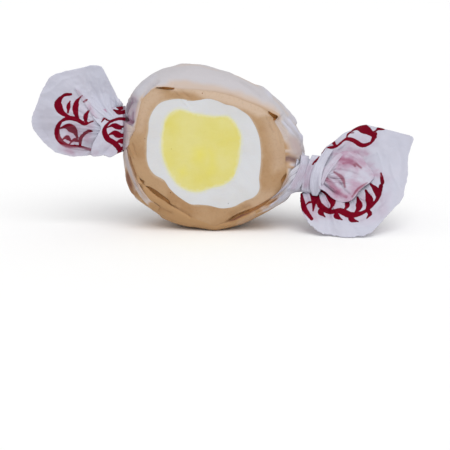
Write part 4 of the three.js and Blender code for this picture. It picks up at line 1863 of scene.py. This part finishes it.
OVERLAYS = (
    Lobe(
        name="wax_paper_left_lobe", columns=130, rows=60, lift=0.15, root=(125.5, 130),
        border=(
            (125, 106), (118, 107), (106, 108.5), (97, 111), (92.5, 115.5), (96, 121),
            (101, 127.5), (97, 136), (92.5, 145), (91.5, 155), (98, 156), (104, 155), (110, 157),
            (118, 153), (124.5, 151),
        ),
        rim=(
            (0, -0.2), (0.22, -0.25), (0.3, -0.12), (0.37, 0.2), (0.43, 0.4), (0.5, 0.5),
            (0.64, 0.5), (0.71, 0.4), (0.86, 0.3), (1, 0.1),
        ),
        creases=(
            Crease(((120, 112), (108, 124), (102, 128)), 3.0, 0.15),
            Crease(((120, 133), (108, 142), (98, 150)), 4.0, -0.12),
            Crease(((124, 102), (124.3, 128), (124, 153)), 2.2, -0.3, deep=0.7, taper=0.02),
        ),
        strokes=(
            Stroke((
                (127, 119.5), (118.5, 119), (109.5, 122.5), (104.5, 130), (107.5, 138.5),
                (115, 143.5), (119.5, 150), (117, 157),
            ), (3.4, 4.8, 4.4)),
            Stroke(((112, 121.5), (105.5, 118), (101.5, 122)), (1.8, 4.8, 1.8)),
            Stroke(((106, 128), (113, 125.5), (120, 127.5), (127, 126.5)), (2.0, 5.0, 3.2)),
            Stroke(((106.5, 136), (113.5, 133), (120, 135.5), (127, 135)), (2.0, 5.8, 3.0)),
            Stroke(((115, 143.5), (121, 141), (127, 143)), (2.0, 5.4, 3.4)),
            Stroke(((118.5, 148.5), (123, 148.5), (126, 152)), (1.8, 4.2, 2.0)),
            Stroke(((127, 111.5), (119.5, 112.5), (114, 110)), (4.6, 4.8, 1.6)),
            Stroke(((117, 103.5), (120.5, 108)), (4.2, 5.6, 4.2)),
        ),
        print_through_and_shade=(
            Area(((100, 98), (111, 98), (114, 108), (110, 118), (101, 119)), 2.5, 0.9),
            Area(((104, 112), (128, 110), (128, 150), (112, 146)), 4.0, 0.4),
            Area(((94, 138), (112, 140), (119, 156), (92, 156)), 4.0, 0.35),
        ),
    ),
    Lobe(
        name="wax_paper_right_lobe", columns=140, rows=56, lift=0.2, root=(318, 176),
        border=(
            (319, 188), (326, 192), (333, 198.5), (341, 202), (349, 201.5), (355, 197.5),
            (359.5, 191), (364.5, 186.5), (371, 182), (374.5, 176), (371, 169.5), (366, 163),
            (361.5, 156.5), (354, 152.5), (345, 151), (336, 155), (329, 163),
        ),
        rim=(
            (0, 0.1), (0.3, 0.15), (0.42, 0.05), (0.5, -0.25), (0.58, -0.5), (0.76, -0.5),
            (0.84, -0.2), (0.92, 0.1), (1, 0.1),
        ),
        pleats=6, pleat_depth=0.3,
        creases=(
            Crease(((324, 180), (332, 187), (342, 194)), 3.0, 0.3),
            Crease(((326, 176), (336, 179), (343, 186)), 3.0, -0.25, deep=0.3),
            Crease(((323, 183), (329, 188), (337, 196)), 2.0, -0.2, deep=0.35),
            Crease(((337, 178), (345, 190), (352, 196)), 2.2, -0.22, deep=0.3),
            Crease(((328, 168), (336, 163), (348, 165), (358, 166)), 2.4, 0.2),
            Crease(((338, 157), (348, 153), (360, 160)), 2.2, 0.22),
            Crease(((327, 171), (338, 169), (350, 171), (362, 176)), 1.8, -0.15, deep=0.25),
        ),
        strokes=(
            Stroke(((330, 165), (340, 159.5), (352, 161.5), (361, 168)), (2.0, 3.6, 1.6)),
            Stroke(((343, 163.5), (351, 162), (355, 166)), (2.4, 5.0, 2.0)),
            Stroke(((325, 177.5), (331, 184), (337.5, 192), (346, 197)), (3.4, 4.6, 2.4)),
            Stroke(((334, 172), (342, 178), (345, 187)), (1.6, 3.2, 1.6)),
            Stroke(((352, 197), (358, 189), (367, 183)), (2.0, 4.0, 2.0)),
        ),
        print_through_and_shade=(
            Area(((312, 140), (380, 140), (380, 206), (312, 206)), 3.0, 0.72),
            Area(((320, 176), (340, 178), (352, 200), (334, 200)), 5.0, 1.0),
            Area(((334, 152), (352, 152), (364, 162), (352, 168), (334, 166)), 5.0, 0.95),
        ),
    ),
    Strap(
        name="wax_paper_right_shoulder", columns=44, rows=90, lift=0.12, arch=0.12,
        left=(
            (306, 158), (298, 165), (291, 171), (285, 180), (279.5, 191), (270, 199), (260, 205.5),
            (249, 211),
        ),
        right=(
            (306, 190), (296, 191), (289, 195.5), (283, 200.5), (276, 205.5), (268, 210),
            (258, 213.5), (247, 216),
        ),
        pleats=4, pleat_depth=0.25, tuck=(0.1, 0.22), touch=0.12,
        creases=(
            Crease(((244, 214), (254, 211.5), (262, 207)), 9.0, 0.0, 1.0, taper=0.1),
            Crease(((258, 208), (268, 204.5), (278, 198)), 7.0, 0.0, 0.72, 0.1, 0.05),
            Crease(((286, 168), (285, 180), (279, 192), (270, 200)), 6.5, 0.0, 0.66, 0.0, 0.32),
            Crease(((262, 207), (271, 202.5), (280, 197)), 2.6, -0.25, 1.0, 0.5, taper=0.35),
            Crease(((290, 182), (282, 190), (270, 199), (262, 205)), 1.5, 0.3, 0.0),
            Crease(((285, 194), (278, 200), (268, 207.5)), 1.3, 0.25, 0.0),
        ),
    ),
    Strap(
        name="wax_paper_left_flap", columns=40, rows=40, lift=0.2, arch=0.05,
        left=((124, 121.5), (128, 124), (132.5, 126.5), (136.5, 129)),
        right=((123, 150), (127, 147), (130.5, 141), (134.5, 133.5)), pleats=2.6, pleat_depth=0.2,
        tuck=(0.12, 0.1), touch=0.42, rim=((0, -0.1), (0.5, 0), (1, 0)),
        creases=(
            Crease(((123, 121), (124, 134), (123, 151)), 6.0, -0.2, 0.3, 0.0, 0.6, taper=0.04),
            Crease(((131, 123), (131.5, 132), (129, 144)), 7.0, 0.0, 0.52, 0.0, 0.2, taper=0.04),
            Crease(((138, 124), (137.5, 131), (133, 143)), 6.0, -0.1, 0.88, 0.0, 0.03, taper=0.05),
            Crease(((127, 123), (132, 125), (136, 128)), 1.6, 0.12, 0.3),
            Crease(((126, 131), (128, 138), (127, 145)), 1.4, -0.12, 0.4, 0.0, 0.35),
        ),
        print_through_and_shade=(Area(((121, 116), (127.5, 118), (128, 150), (121, 152)), 3.0, 0.4),),
    ),
    Strap(
        name="wax_paper_left_shoulder", columns=24, rows=110, lift=0.1, arch=0.1,
        left=(
            (126, 146), (128, 157), (131, 167), (135.5, 178), (142, 189.5), (149.5, 198.5),
            (160, 207),
        ),
        right=(
            (124, 147), (125.3, 160), (128, 170.5), (132.5, 182), (138, 193), (146.5, 203.5),
            (157, 212),
        ),
        pleats=2, pleat_depth=0.14, tuck=(0.08, 0.42), touch=0.42,
        creases=(
            Crease((
                (130, 166), (135, 178), (142, 190), (150, 201),
            ), 8.0, 0.0, 0.66, 0.05, 0.12, taper=0.2),
            Crease(((147, 200), (153, 206), (160, 211), (170, 217)), 9.0, 0.0, 1.0, taper=0.3),
            Crease((
                (125, 148), (128, 162), (132, 174), (139, 188),
            ), 7.0, 0.0, 0.5, 0.0, 0.22, taper=0.05),
            Crease(((131, 170), (134.5, 180), (139, 189)), 5.0, 0.0, 0.8, 0.05, 0.1, taper=0.4),
            Crease(((125, 150), (127.5, 162), (131, 173), (137, 187), (144, 198)), 1.4, 0.16, 0.4),
            Crease(((127.5, 152), (130, 163), (134, 174), (140, 186)), 1.6, -0.14, 0.7, 0.3, 0.2),
        ),
    ),
    Strap(
        name="wax_paper_left_edge", columns=6, rows=70, lift=0.16,
        left=((138.5, 171), (142.5, 179), (149, 185.5), (157, 192), (166, 198.5)),
        right=((137.6, 172), (141.3, 180.4), (148, 187.2), (156.4, 193.2), (165.6, 199)),
        tuck=(0.2, 0.3), touch=0.62,
    ),
    Strap(
        name="wax_paper_right_strap_a", columns=40, rows=60, lift=0.12, arch=0.12,
        left=((301, 155), (300, 165), (296, 175), (290, 185), (285, 191)),
        right=((309, 156), (308.5, 166), (305, 177), (300, 187), (296, 192)), pleats=5,
        pleat_depth=0.16, tuck=(0.06, 0.16),
        print_through_and_shade=(Area(((300, 150), (310, 152), (306, 180), (290, 192)), 3.0, 0.4),),
    ),
    Strap(
        name="wax_paper_right_strap_b", columns=30, rows=60, lift=0.1, arch=0.16,
        left=((301, 191), (302.5, 182), (305.5, 172), (308.5, 163), (312, 155)),
        right=((311, 194), (311, 184), (312.5, 174), (316, 165), (321, 156)), pleats=4,
        pleat_depth=0.15, tuck=(0.05, 0.08),
        strokes=(Stroke(((312.5, 164.5), (319, 157)), (2.4, 3.8, 1.6)),),
        print_through_and_shade=(Area(((302, 160), (314, 160), (312, 188), (302, 188)), 3.0, 0.6),),
    ),
    Strap(
        name="wax_paper_right_strap_c", columns=24, rows=60, lift=0.0, arch=0.16,
        left=((318.5, 184), (322, 174), (327, 165.5), (333, 158.5), (340, 152.5)),
        right=((321.5, 188), (326, 178), (332, 169), (338, 161), (343, 154.5)), pleats=1.5,
        pleat_depth=0.16, tuck=(0.1, 0.4),
        print_through_and_shade=(Area(((322, 150), (346, 150), (340, 172), (320, 190)), 3.0, 0.45),),
    ),
    Strap(
        name="wax_paper_right_strap_d", columns=44, rows=80, lift=0.16, arch=0.3,
        left=((312.5, 195.5), (310, 188), (310.5, 177), (314.5, 166), (320, 157), (326, 148)),
        right=((317, 196), (320.5, 189), (321, 179), (323.5, 169), (327.5, 159.5), (333, 150)),
        pleats=3, pleat_depth=0.1, tuck=(0, 0.12),
    ),
)
FULLEST = (
    (0, 0.8), (20, 0.78), (32, 0.68), (60, 0.6), (150, 0.6), (175, 0.75), (195, 0.95), (210, 1),
    (320, 1), (335, 0.8),
)
MARGINS = (
    (0, 1.6), (8, 1.5), (18, 1), (26, 0.8), (45, 0.6), (75, 0.8), (97, 0.6), (115, 0.6),
    (140, 0.4), (160, 0.5), (180, 0.5), (200, 0.8), (320, 0.8), (345, 0.7),
)
SHADED_BODY_PAPER = (  # painted purple-grey shade on the paper round the taffy: in the hollow at the left neck and on the right side
    Area((
        (123, 98), (131, 95), (137, 98), (136, 106), (134.5, 120), (132, 126), (123, 128),
    ), 4.0, 0.72),
    Area(((121, 127), (134, 128), (131, 152), (121, 152)), 3.0, 0.6),
    Area(((289, 136), (297, 140), (304, 152), (304, 170), (292, 168), (287, 150)), 5.0, 0.15),
)
TOUCHING = (
    (0, 13.4), (6, 12.75), (11, 12.3), (18, 11.95), (24, 11.6), (32, 11.9), (44, 11.3), (61, 10.4),
    (79, 10.3), (90, 10.7), (104, 11.45), (115, 12.45), (120, 13), (124, 13), (131, 13.6),
    (142, 14.2), (150, 13.6), (161, 12.9), (171, 14), (183, 13.6), (196, 13.3), (205, 13.2),
    (213, 16), (300, 16), (312, 14.6), (320, 13.2), (330, 12.6), (340, 12.2), (350, 12), (356, 13),
)


# ---- The studio -----------------------------------------------------------------------------


@dataclass(frozen=True)
class Studio:
    """A white floor, soft light from above, and the camera at the photograph's angle."""

    floor_size: float = 3.0
    sky: float = 0.7
    sun: float = 1.42
    sun_softness: float = math.radians(50)
    sun_from: tuple[float, float, float] = (0.2, -0.75, 1.0)

    def camera(self) -> None:
        """Sets the camera up."""
        view = bpy.data.cameras.new("camera")
        view.lens, view.sensor_width = EYE.lens, EYE.sensor
        view.clip_start, view.clip_end = 0.01, 20.0
        camera = bpy.data.objects.new("camera", view)
        bpy.context.scene.collection.objects.link(camera)
        aim = Vector((EYE.aim_x, 0.0, EYE.aim_z))
        camera.location = placed(EYE.location)
        camera.rotation_euler = (aim - EYE.location).to_track_quat("-Z", "Y").to_euler()
        bpy.context.scene.camera = camera

    def floor(self) -> None:
        """Lays the floor."""
        sweep = bmesh.new()
        bmesh.ops.create_grid(sweep, x_segments=2, y_segments=2, size=self.floor_size)
        mesh = bpy.data.meshes.new("floor")
        sweep.to_mesh(mesh)
        sweep.free()
        mesh.materials.append(StudioFloor().make())
        floor = bpy.data.objects.new("floor", mesh)
        bpy.context.scene.collection.objects.link(floor)

    def light(self) -> None:
        """Lights the scene with a white room and one large soft lamp."""
        world = bpy.data.worlds.new("white_room")
        world.use_nodes = True
        world.node_tree.nodes["Background"].inputs["Strength"].default_value = self.sky
        world.node_tree.nodes["Background"].inputs["Color"].default_value = (1, 1, 1, 1)
        bpy.context.scene.world = world
        light = bpy.data.lights.new("softbox", "SUN")
        light.energy, light.angle = self.sun, self.sun_softness
        lamp = bpy.data.objects.new("softbox", light)
        lamp.rotation_euler = Vector(self.sun_from).to_track_quat("Z", "Y").to_euler()
        bpy.context.scene.collection.objects.link(lamp)
        bpy.context.scene.view_settings.view_transform = "Standard"


# ---- All together ---------------------------------------------------------------------------


def main() -> None:
    """Builds the camera, the taffy, its paper and the studio, in that order."""
    logging.basicConfig(level=logging.INFO, format="%(name)s: %(message)s")
    studio = Studio()
    studio.camera()
    taffy = CutTaffy()
    taffy.lemon()
    taffy.white()
    taffy.tan()
    Wrapper(LEFT, RIGHT, TOUCHING, FULLEST, MARGINS, CREASES, SHADED_BODY_PAPER, OVERLAYS).build()
    studio.floor()
    studio.light()


if __name__ == "__main__":
    main()
